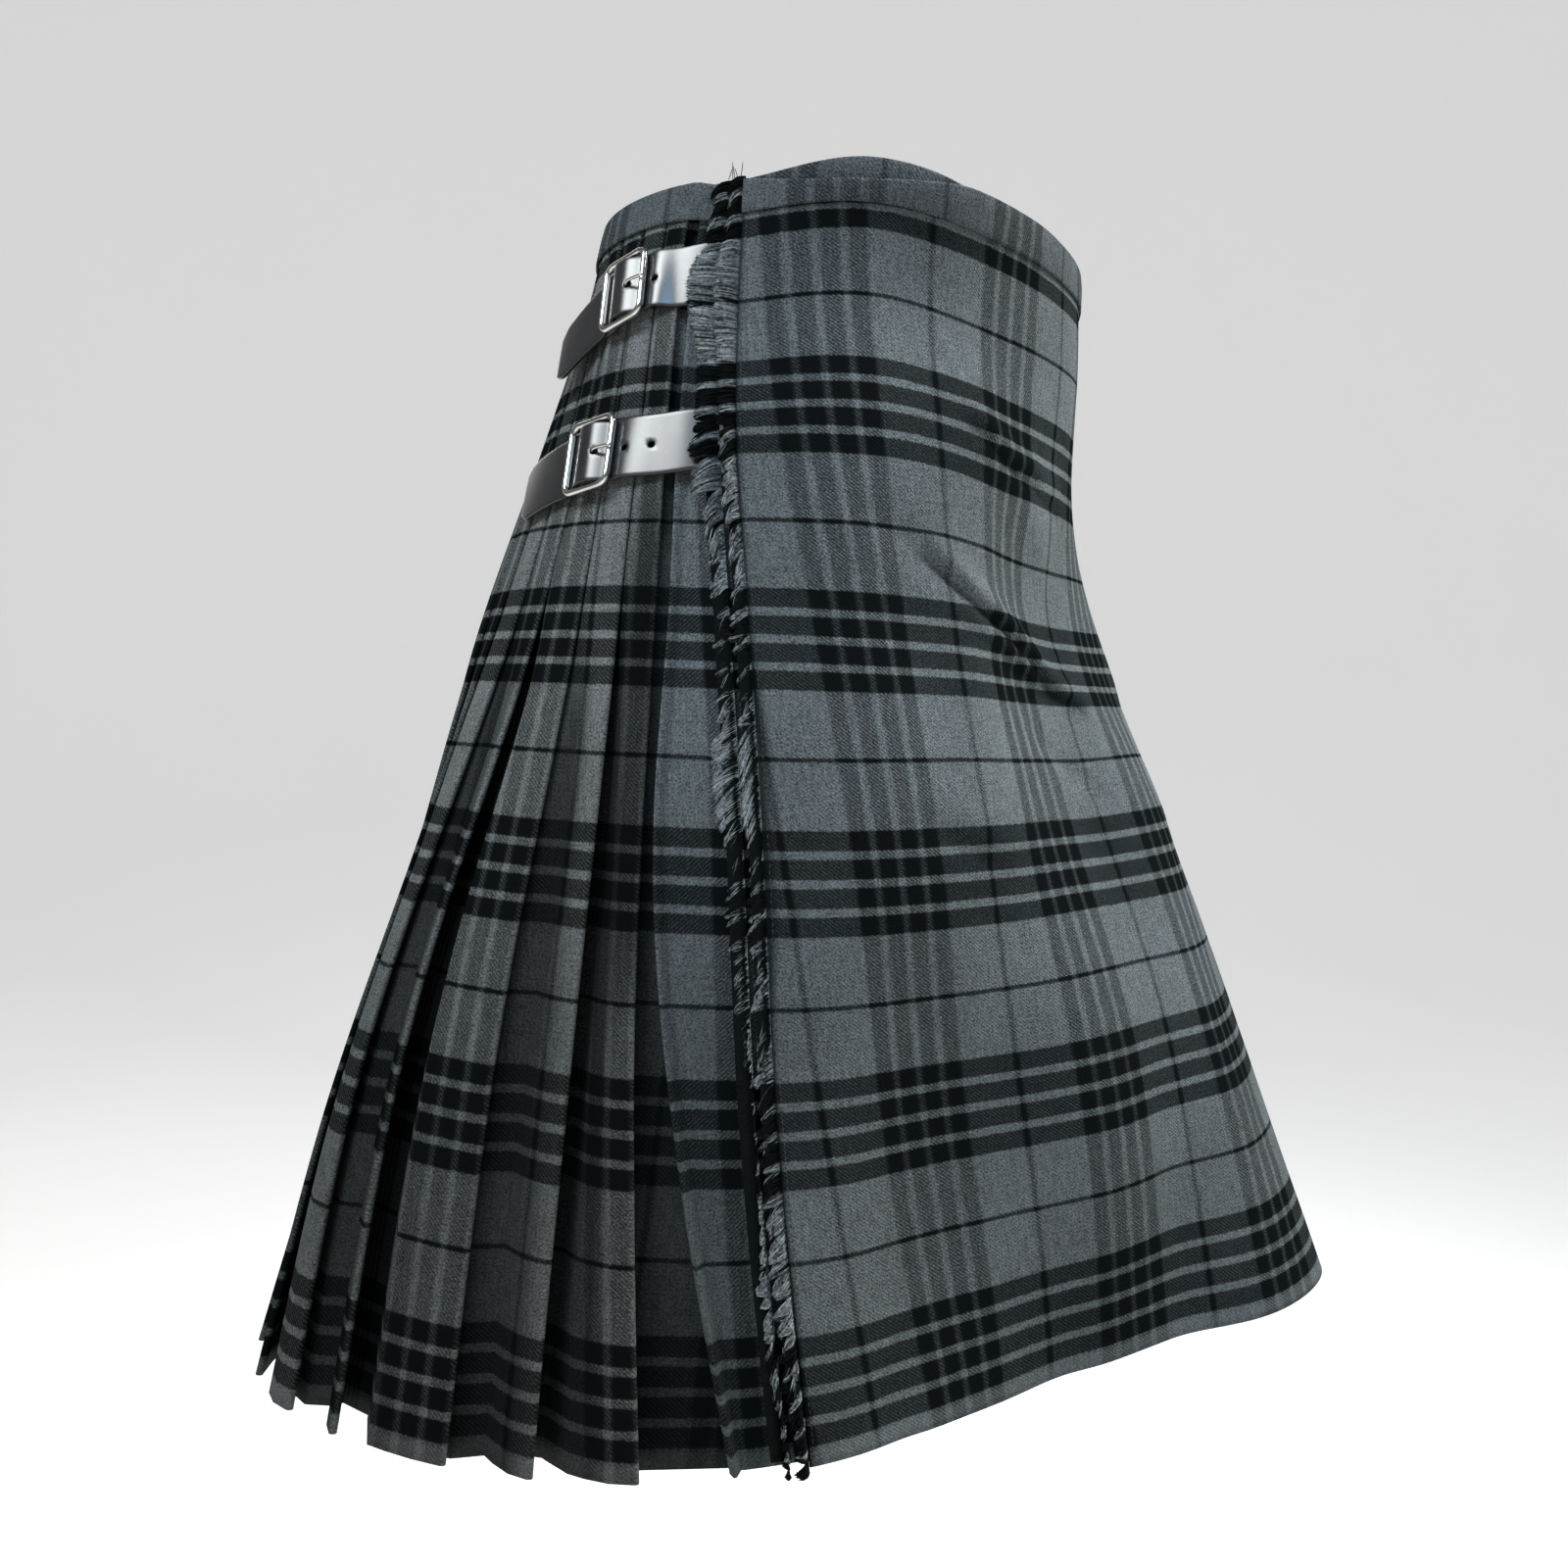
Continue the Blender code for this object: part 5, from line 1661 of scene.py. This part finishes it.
        # threads of the check's narrow pale lines were teased least, so they end as short knots
        stray = (each[6] > 0.88).astype(float)
        long = (self.reach - self.start) * share * (1.0 - 0.3 * matted * own[2])
        size = long * (0.9 + 0.13 * each[1]) - stray * 1.5 * each[1]
        t = np.linspace(0.0, 1.0, self.stations)[None, :]
        drawn = 0.25 + 0.5 * matted - 1.9 * fan
        across = aside[:, None] * (1.0 - drawn[:, None] * t**1.2)
        twist = (0.5 + 2.6 * matted * own[3])[:, None] * t + 6.3 * each[2][:, None]
        swell = np.sin(math.pi * np.minimum(t + 0.08, 1.0))
        girth = (0.35 + 0.75 * matted)[:, None] * swell * each[3][:, None]
        drop = middle[:, None] + across + droop[:, None] * t**1.25 + girth * np.sin(twist * 2.2)
        drop = drop + (rng.normal(0.0, 0.35, total) + rng.normal(0.0, 2.0, total) * stray)[:, None] * t**1.5
        back = self.start + size[:, None] * t**0.92 + 0.4 * np.sin(twist * 1.7) * t
        back = back - (0.18 * droop * matted)[:, None] * t**2
        bow = self.level + 0.4 + 1.2 * each[5] ** 1.5 + (0.8 + 1.5 * matted) * own[4] + 0.4 * stray
        rise = np.sin(np.minimum(t / 0.45, 1.0) * math.pi / 2)
        fall = np.clip((t - 0.5) / 0.5, 0.0, 1.0) ** 2
        level = self.root + (bow - self.root)[:, None] * rise + girth * np.cos(twist * 2.2)
        level = level - (0.5 + 1.6 * each[1] + 1.2 * matted * own[5])[:, None] * fall
        level = level + profile(self.lifted, middle)[:, None] * t
        paths = CutEdge.lie(drop, back, np.maximum(level, self.root - 0.3))
        thick = self.thick[0] + self.thick[1] * each[4]
        radii = thick[:, None] * np.array(self.taper)[None, :] * MM
        from_drop, black = self.last_black
        thread = np.where(root > from_drop, black, root)
        uvs = np.stack([each[7] * 0.2, thread * MM], axis=1)
        uvs = np.repeat(uvs[:, None, :], self.stations, axis=1)
        shape = together([tubes(paths, radii, uvs, sides=4), self.backing()])
        return finished(self.name, shape, Yarn())


@dataclass
class EdgeStitching:
    """Black running stitches beside the fringe, and the thread ends left loose at the waist."""

    beside: float = 2.4
    pitch: float = 3.3
    long: float = 2.2
    # radius at each point of a thread
    taper: tuple = (0.2, 0.24, 0.24, 0.24, 0.2, 0.0)
    # loose ends: mm behind the cut edge, length and lean
    loose: tuple = ((1.5, 6.5, -1.0), (3.5, 4.0, 2.0), (6.0, 7.5, 0.6), (8.0, 3.5, -1.6), (5.0, 5.0, 1.2))

    def build(self) -> bpy.types.Object:
        """Draw one short bent thread a stitch, then the loose ends.

        Returns:
            The threads as one piece.
        """
        rng = np.random.default_rng(21)
        starts = np.arange(3.0, FALL.hem - 5.0, self.pitch)
        starts = starts + rng.uniform(-0.25, 0.25, len(starts))
        t = np.linspace(0.0, 1.0, len(self.taper))[None, :]
        aside = self.beside + rng.uniform(-0.12, 0.12, len(starts))
        level = CUT.cloth / 2 - 0.2 + 0.42 * np.sin(math.pi * t)
        stitches = CutEdge.lie(starts[:, None] + self.long * t, 0.1 * t - aside[:, None], level)
        back, tall, lean = np.array(self.loose).T[:, :, None]
        above = 1.8 - 0.6 * t + 0.2 * np.sin(7 * t + back)
        ends = CutEdge.lie(2.0 - (2.0 + tall) * t, back + lean * t**1.6, above)
        paths = np.concatenate([stitches, ends])
        radii = np.tile(self.taper, (len(paths), 1)) * MM
        shape = tubes(paths, radii, np.zeros(paths.shape[:2] + (2,)), sides=5)
        return finished("apron_edge_stitching", shape, Thread())


# ---- leather and metal ---------------------------------------------------------------------------
class Side(Enum):
    """Which way a strap's tail points along the cloth."""

    BACK = -1
    FRONT = 1


@dataclass(frozen=True)
class Place:
    """Where a buckle lies on the cloth, and how its strap runs through it."""

    drop: float
    arc: float
    side: Side
    # how steeply the strap falls towards its tail, as mm a mm
    slant: float = 0.0
    # mm to each side over which the cloth's slope is taken, along the strap and up it
    reach: ClassVar[tuple] = (8.0, 14.0)
    kept: ClassVar[dict] = {}

    def axes(self) -> tuple[np.ndarray, np.ndarray, np.ndarray, np.ndarray]:
        """Middle, in metres, and steps towards the tail, upwards and outwards.

        Returns:
            The place and the three steps, each 1 long.
        """
        if self not in self.kept:
            reach, tall = self.reach
            way, rise = reach * self.side.value, reach * self.slant
            middle = FALL.spot(self.drop, self.arc)
            along = FALL.spot(self.drop + rise, self.arc + way) - FALL.spot(self.drop - rise, self.arc - way)
            along /= np.linalg.norm(along)
            up = FALL.spot(self.drop - tall, self.arc) - FALL.spot(self.drop + tall, self.arc)
            up -= along * np.dot(up, along)
            up /= np.linalg.norm(up)
            out = np.cross(up, along)
            if np.dot(out, FALL.spot(self.drop, self.arc, 20.0) - middle) < 0:
                out = -out
            self.kept[self] = (middle, along, up, out)
        return self.kept[self]

    def at(self, along: float, up: float, out: float) -> np.ndarray:
        """A place in metres, from mm along the three steps."""
        middle, a, u, o = self.axes()
        return middle + (a * along + u * up + o * out) * MM

    def on_cloth(self, along: float, up: float, level: float, droop: float = 0.0) -> np.ndarray:
        """A place on the cloth, this far towards the tail and this far above the strap's middle line."""
        drop = self.drop + along * self.slant + droop - up
        return FALL.spot(drop, self.arc + self.side.value * (along + up * self.slant), level)

    def at_arc(self, arc_at: Callable[[float], float], up: float, level: float) -> np.ndarray:
        """A place on the strap's line where it crosses an arc that is given for each drop."""
        drop = self.drop + self.slant * self.side.value * (arc_at(self.drop) - self.arc) - up
        return FALL.spot(drop, arc_at(drop), level)


def punched_strip(
    name: str, stations: list[Callable[[float], np.ndarray]], at: Sequence[float], widths: Sequence[float],
    wall: float, holes: Sequence[float], radius: float,
) -> bpy.types.Object:
    """Cut a strip of strap leather, punch its holes and lay it through stations.

    Args:
        name: the piece's name.
        stations: each gives a place, in metres, for a distance across the strip in mm.
        at: mm along the strip of each station.
        widths: half width of the strip at each station.
        wall: its thickness in mm.
        holes: mm along the strip of each hole on its middle line.
        radius: the holes' radius in mm.

    Returns:
        The strip, with rounded edges.
    """
    stops = {float(at[0]), float(at[-1])}
    for centre in holes:
        stops |= {centre - radius, centre, centre + radius}
    along = spread(stops, 1.9)
    full = max(widths)
    across = spread((-full, -full + 2.0, -radius, 0.0, radius, full - 2.0, full), 2.9)
    centre_row = np.searchsorted(across, 0.0)
    half = smooth(at, np.array(widths), along)
    cuts = [np.array([place(w) for place in stations]) for w in across]
    laid = np.stack([smooth(at, cut, along) for cut in cuts], axis=0)
    # a hole's four corners are drawn in, so that it is round
    for centre in holes:
        middle = laid[centre_row, np.searchsorted(along, centre)]
        for i in np.flatnonzero(np.abs(np.abs(across) - radius) < 1e-6):
            for j in np.flatnonzero(np.abs(np.abs(along - centre) - radius) < 1e-6):
                laid[i, j] = middle + (laid[i, j] - middle) * 0.72
    middle_row = laid[centre_row].copy()
    for i in range(len(across)):
        laid[i] = middle_row + (laid[i] - middle_row) * (half / full)[:, None]
    shape = grid(laid, np.stack(np.meshgrid(along, across), axis=-1) * MM)
    middles = [Vector(laid[centre_row, np.searchsorted(along, centre)]) for centre in holes]
    taken = []
    for face in shape.faces:
        co = face.calc_center_median()
        if any((co - middle).length < radius * 0.9 * MM for middle in middles):
            taken.append(face)
    bmesh.ops.delete(shape, geom=taken, context="FACES")
    piece = finished(name, shape, Leather())
    thicken(piece, wall)
    round_off = piece.modifiers.new("edge", "BEVEL")
    round_off.width = 0.45 * MM
    round_off.segments = 2
    round_off.limit_method = "ANGLE"
    round_off.angle_limit = math.radians(50)
    return piece


@dataclass
class Fastening:
    """One strap with its buckle, prong and the leather tab that holds the buckle."""

    name: str
    place: Place
    # the strap past the buckle: mm along it, level, droop, share of its width
    tail: tuple
    # the strap before the buckle: arc at a drop, and level
    lead: list
    # mm along the strap of the holes beside the one in use
    punched: tuple = ()
    strap_wide: float = 31.5
    strap_wall: float = 2.2
    hole_radius: float = 1.75
    # the strap in the buckle: mm along it, mm out from the cloth
    through: tuple = (
        (-20, 3.3), (-15, 3.6), (-11, 4.8), (-7.4, 7.0), (-2.6, 9.2), (0, 9.4), (4.5, 8.9), (11, 4.9),
        (15, 4.2),
    )
    hole_at: float = -5.0
    # the frame, its rod, its height over the cloth and its corners; the bar lies lower by `sink`
    tall: float = 40.0
    long: float = 33.0
    frame_rod: float = 3.4
    bar_rod: float = 2.4
    lift: float = 7.2
    corner: float = 5.0
    sink: float = 2.6
    prong_rod: float = 1.6
    prong_path: tuple = ((-2.4, 7.2), (-4.6, 9.2), (-6.8, 10.7), (-10.5, 11.0), (-14.8, 10.3), (-17.6, 10.1))
    # mm that a part bent round the bar keeps from it
    bar_room: float = 0.3
    tab_wall: float = 1.5
    tab_long: float = 40.0
    tab_slot: float = 1.4

    def round_bar(self, wall: float, degrees: Iterable[float]) -> tuple[list[tuple[float, float]], float]:
        """Bend a part of this thickness round the centre bar.

        Args:
            wall: its thickness in mm.
            degrees: where it goes, from 0 towards the tail.

        Returns:
            Points of its middle line, as mm along and out, and the bend's radius.
        """
        radius = self.bar_rod / 2 + self.bar_room + wall / 2
        turns = [math.radians(at) for at in degrees]
        return [(radius * math.cos(a), self.lift - self.sink + radius * math.sin(a)) for a in turns], radius

    def strap(self) -> bpy.types.Object:
        """The strap, from its sewn end, through the buckle, to the tip of its tail.

        Returns:
            The strap.
        """
        spot, half = self.place, self.strap_wide / 2
        stations, at, widths = [], [], []
        for place, level in self.lead:
            stations.append(lambda w, p=place, n=level: spot.at_arc(p, w, n))
            at.append((place(spot.drop) - spot.arc) * spot.side.value)
            widths.append(half)
        for a, level in self.through:
            stations.append(lambda w, a=a, n=level: spot.at(a, w, n))
            at.append(float(a))
            widths.append(half)
        for a, level, droop, share in self.tail:
            stations.append(lambda w, a=a, n=level, d=droop: spot.on_cloth(a, w, n, d))
            at.append(float(a))
            widths.append(half * share)
        return punched_strip(
            f"strap_{self.name}_leather", stations, at, widths,
            self.strap_wall, (self.hole_at, *self.punched), self.hole_radius,
        )

    def tab(self) -> bpy.types.Object:
        """The leather tab, folded round the buckle's centre bar and sewn down behind it.

        Returns:
            The tab.
        """
        bar = self.lift - self.sink
        bend, radius = self.round_bar(self.tab_wall, (65, 95, 125, 155, 185, 215, 245))
        path = [(7.0, bar - 0.5), (3.4, bar + 1.3), *bend, (3.2, bar - radius - 0.3), (8.0, 1.8)]
        flat = CUT.cloth / 2 + 0.3 + self.tab_wall / 2 + 0.4
        stations = [lambda w, a=a, n=n: self.place.at(a, w, n) for a, n in path]
        for a in (14.0, 22.0, 30.0, self.tab_long):
            stations.append(lambda w, a=a: self.place.on_cloth(a, w, flat))
        at = walk(np.array([place(0.0) for place in stations])) / MM
        half = self.strap_wide / 2 - 1.0
        across = np.array([-half, -half + 1.5, -8.0, -4.0, -1.5, 1.5, 4.0, 8.0, half - 1.5, half])
        along = spread(at, 2.0)
        laid = np.stack([smooth(at, np.array([place(w) for place in stations]), along) for w in across])
        if self.place.side is Side.BACK:
            laid = laid[::-1]
        shape = grid(laid, np.stack(np.meshgrid(along, across), axis=-1) * MM)
        # the slot that the prong swings in
        slot_ends = at[2 + len(bend)]
        taken = []
        for face in shape.faces:
            places = [loop[shape.loops.layers.uv["cloth"]].uv for loop in face.loops]
            u = sum(p.x for p in places) / len(places) / MM
            v = sum(p.y for p in places) / len(places) / MM
            if abs(v) < self.tab_slot and 0.8 < u < slot_ends:
                taken.append(face)
        bmesh.ops.delete(shape, geom=taken, context="FACES")
        piece = finished(f"tab_{self.name}_leather", shape, TAB_LEATHER)
        thicken(piece, self.tab_wall)
        return piece

    def buckle(self) -> bpy.types.Object:
        """The rounded frame and its centre bar.

        Returns:
            The frame with its bar.
        """
        _, along, up, out = self.place.axes()
        half_long, half_tall = (self.long - self.frame_rod) / 2, (self.tall - self.frame_rod) / 2
        path = []
        for side_x, side_y, turn in ((1, 1, 0), (-1, 1, 90), (-1, -1, 180), (1, -1, 270)):
            for step in np.linspace(0, 90, 7):
                a = math.radians(turn + step)
                x = side_x * (half_long - self.corner) + self.corner * math.cos(a)
                y = side_y * (half_tall - self.corner) + self.corner * math.sin(a)
                path.append(self.place.at(x, y, self.lift))
        frame_rod = rod(path, Vector(out), self.frame_rod / 2, True, 14)
        ends = ((-1.0, 0.2), (-0.95, 0.8), (-0.88, 1.0), (0.88, 1.0), (0.95, 0.8), (1.0, 0.2))
        bar = rod(
            [self.place.at(0.0, half_tall * s, self.lift - self.sink * sink) for s, sink in ends],
            Vector(along), self.bar_rod / 2, False,
        )
        return finished(f"buckle_{self.name}_frame", together([frame_rod, bar]), Nickel())

    def prong(self) -> bpy.types.Object:
        """The pin bent round the centre bar, its tip resting on the frame.

        Returns:
            The pin.
        """
        bend, _ = self.round_bar(self.prong_rod, range(-60, 121, 20))
        points = np.array(bend + list(self.prong_path))
        walked, turn = walk(points), len(bend)
        fine = np.concatenate([walked[:turn], np.linspace(walked[turn - 1], walked[-1], 18)[1:]])
        bent = smooth(walked, points, fine)
        _, _, up, _ = self.place.axes()
        shape = rod([self.place.at(a, 0.0, n) for a, n in bent], Vector(up), self.prong_rod / 2, False, 10)
        return finished(f"prong_{self.name}_pin", shape, Nickel())

    def dress(self) -> None:
        """Make the four pieces and stand each in for its solid."""
        for piece, node, slot in (
            (self.strap(), "strap_", "strap_leather"),
            (self.tab(), "tab_", "tab_leather"),
            (self.buckle(), "buckle_", "buckle_metal"),
            (self.prong(), "prong_", "buckle_metal"),
        ):
            stand_in(piece, node + self.name)


# the tab's leather is matt; its grey, paler than the strap's, is a painted sheen
TAB_LEATHER = Leather(
    "tab_leather", colour=(0.05, 0.05, 0.051, 1.0), worn=(0.095, 0.096, 0.097, 1.0), roughness=0.55, coat=0.1
)


def right_lead(drop: float) -> list[tuple[Callable[[float], float], float]]:
    """A right strap's way out: under the apron's edge and the fringe, over the flat pleat.

    Args:
        drop: drop of its buckle.

    Returns:
        Arc at a drop, and level, of each station.
    """
    lead = []
    for arc, level in (
        (28.0, -3.0), (12.0, -3.0), (3.0, -4.5), (-4.0, -4.7), (-12.0, -3.9), (-18.5, -1.7), (-24.0, -0.5),
        (-CUT.side_folds(drop)[1], 1.35),
    ):
        lead.append((lambda d, a=arc: a, level))
    return lead


def left_lead() -> list[tuple[Callable[[float], float], float]]:
    """The left strap's way out: from the under apron's free edge through the slit.

    Returns:
        Arc at a drop, and level, of each station.
    """
    lead = []
    for past, level in ((-24.0, CUT.under_level + 2.6), (-2.0, CUT.under_level + 2.6), (14.0, -4.6)):
        lead.append((lambda d, p=past: FALL.arc_of(d, CUT.under_left) + p, level))
    for past, level in ((-10.0, -4.4), (-4.2, -2.6), (4.2, 2.6), (10.0, 3.0)):
        lead.append((lambda d, p=past: FALL.arc_of(d, CUT.slit_bearing) + p, level))
    return lead


# ---- the studio ----------------------------------------------------------------------------------
@dataclass(frozen=True)
class Lamp:
    """A soft rectangular light: its size in metres, its power in watts, its beam in degrees."""

    name: str
    place: tuple
    aim: tuple
    size: tuple
    power: float
    colour: tuple
    beam: float = 180.0

    def hang(self) -> None:
        """Hang it in its place and turn it to its aim."""
        data = bpy.data.lights.new(self.name, "AREA")
        data.shape = "RECTANGLE"
        data.size, data.size_y = self.size
        data.energy = self.power
        data.color = self.colour
        data.spread = math.radians(self.beam)
        made = bpy.data.objects.new(self.name, data)
        made.location = self.place
        made.rotation_euler = (Vector(self.aim) - Vector(self.place)).to_track_quat("-Z", "Y").to_euler()
        bpy.context.scene.collection.objects.link(made)


@dataclass
class StudioSet:
    """Camera, soft lights, floor and backdrop."""

    eye: tuple = (-0.7792, -0.4048, -0.2906)
    heading: float = -60.0
    lens: float = 34.02
    sensor: float = 36.0
    shift: float = -0.0125
    nearest: float = 0.01
    lamps: tuple = (
        Lamp("front", (1.05, -1.35, 1.5), (0.0, -0.1, -0.08), (1.4, 1.4), 26.0, (1.0, 0.99, 0.97), 74.0),
        Lamp("key", (-1.45, 0.5, 1.4), (-0.2, 0.05, 0.06), (1.6, 1.2), 5.0, (0.94, 0.98, 1.0), 36.0),
        Lamp("window", (-1.33, -0.59, 1.09), (-0.19, -0.1, -0.1), (1.1, 0.4), 0.5, (0.42, 0.7, 1.0), 30.0),
        Lamp("back", (1.6, 1.5, 1.2), (0.0, 0.0, -0.3), (1.4, 1.4), 14.0, (1.0, 1.0, 1.0)),
    )
    air: float = 0.12
    # the floor's height and half width, and its rise to a backdrop: which way, from how far, how steep
    floor: float = -0.95
    floor_half: float = 6.0
    away: tuple = (0.866, 0.5)
    rise_from: float = 2.2
    steep: float = 0.55

    def camera(self) -> None:
        """Stand the camera level with the hips, off the wearer's right front."""
        data = bpy.data.cameras.new("camera")
        data.lens = self.lens
        data.sensor_width = self.sensor
        data.shift_y = self.shift
        data.clip_start = self.nearest
        made = bpy.data.objects.new("camera", data)
        made.location = self.eye
        made.rotation_euler = (math.pi / 2, 0.0, math.radians(self.heading))
        bpy.context.scene.collection.objects.link(made)
        bpy.context.scene.camera = made

    def backdrop(self) -> None:
        """Lay the floor, which curves up behind the kilt."""
        shape = bmesh.new()
        made = bmesh.ops.create_grid(shape, x_segments=24, y_segments=24, size=self.floor_half)
        for vert in made["verts"]:
            far = Vector((vert.co.x, vert.co.y)).dot(Vector(self.away))
            rise = max(0.0, far - self.rise_from)
            vert.co.z = self.floor + rise * rise * self.steep
        finished("studio_floor", shape, Studio())

    def build(self) -> None:
        """Lay the backdrop, hang the lights, set the air's glow and place the camera."""
        self.backdrop()
        for lamp in self.lamps:
            lamp.hang()
        world = bpy.data.worlds.new("air")
        world.use_nodes = True
        glow = world.node_tree.nodes["Background"].inputs
        glow["Color"].default_value = (1.0, 1.0, 1.0, 1.0)
        glow["Strength"].default_value = self.air
        bpy.context.scene.world = world
        bpy.context.scene.view_settings.view_transform = "Standard"
        self.camera()


# how much of its full reach each fringe layer has: drop, share
UPPER_SPREADS = (
    (0, 0.9), (40, 0.98), (140, 0.9), (260, 0.84), (295, 0.8), (335, 0.86), (450, 0.9), (555, 0.95),
    (612, 0.8),
)
LOWER_SPREADS = (
    (0, 0.92), (36, 1.0), (46, 1.2), (72, 1.16), (84, 1.0), (120, 1.0), (130, 1.14), (158, 1.08), (200, 0.8),
    (260, 0.8), (295, 1.0), (320, 0.84), (400, 0.72), (430, 0.5), (455, 0.3), (500, 0.28), (530, 0.6),
    (560, 0.55), (580, 0.3), (612, 0.25),
)
# each strap past its buckle: mm along it, level, droop, share of its width
UPPER_TAIL = (
    (20, 4.2, 0, 1), (27, 5.2, 2.5, 1), (35, 7.0, 5.5, 1), (43, 9.0, 9.5, 1), (49, 10.4, 12.5, 0.97),
    (53.5, 11.2, 15, 0.72),
)
LOWER_TAIL = (
    (20, 4.2, 0, 1), (30, 4.4, 0.6, 1), (42, 4.6, 1.4, 1), (54, 4.8, 2.6, 1), (60, 4.9, 3.4, 0.97),
    (64.5, 5.0, 4, 0.72),
)
LEFT_TAIL = (
    (20, 4.2, 0, 1), (30, 4.6, 2, 1), (40, 5.2, 5, 1), (47, 5.6, 7, 0.97), (51.5, 5.8, 8, 0.72),
)


def cloth_pieces() -> None:
    """Make the four pieces of cloth and log the area of each, in square metres."""
    for panel, node, slot, flat, held in (
        (OverApron(), "over_apron", "apron_cloth", (0.74, 0.609), "hung"),
        (UnderApron(), "under_apron", "apron_cloth", (0.64, 0.609), "hung"),
        (Pleats(), "pleats", "pleat_cloth", (1.75, 0.609), "folded"),
        (Waistband(), "waistband", "band_cloth", (1.4, 0.044), "folded"),
    ):
        piece = panel.build()
        stand_in(piece, node)
        log.info("%s: %.3f square metres", node, panel.area)


def yarn_pieces() -> None:
    """Make the two fringe layers and the stitching beside them."""
    for fringe, node in (
        (Fringe("fringe_upper_yarn", 0.2, 11.7, -0.9, 0.5, 3, UPPER_SPREADS), "fringe_upper"),
        (Fringe("fringe_lower_yarn", 9.3, 23.6, -3.4, -1.9, 8, LOWER_SPREADS), "fringe_lower"),
    ):
        stand_in(fringe.build(), node)
    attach(EdgeStitching().build(), "root")


def fastenings() -> None:
    """Make the three straps with their buckles, prongs and tabs."""
    upper, lower, left = 57.0, 145.5, 50.5
    left_arc = FALL.arc_of(left, CUT.slit_bearing) + 40.0
    for fastening in (
        Fastening("upper", Place(upper, -63.0, Side.BACK, 0.2), UPPER_TAIL, right_lead(upper), (-20.0,)),
        Fastening(
            "lower", Place(lower, -78.4, Side.BACK, 0.14), LOWER_TAIL, right_lead(lower), (-35.4, -21.4)
        ),
        Fastening("left", Place(left, left_arc, Side.FRONT), LEFT_TAIL, left_lead(), (-24.0,)),
    ):
        fastening.dress()
        log.info("fastening %s", fastening.name)


def main() -> None:
    """Build every sub-assembly in order."""
    logging.basicConfig(level=logging.INFO, format="%(message)s")
    cloth_pieces()
    yarn_pieces()
    fastenings()
    StudioSet().build()


if __name__ == "__main__":
    main()
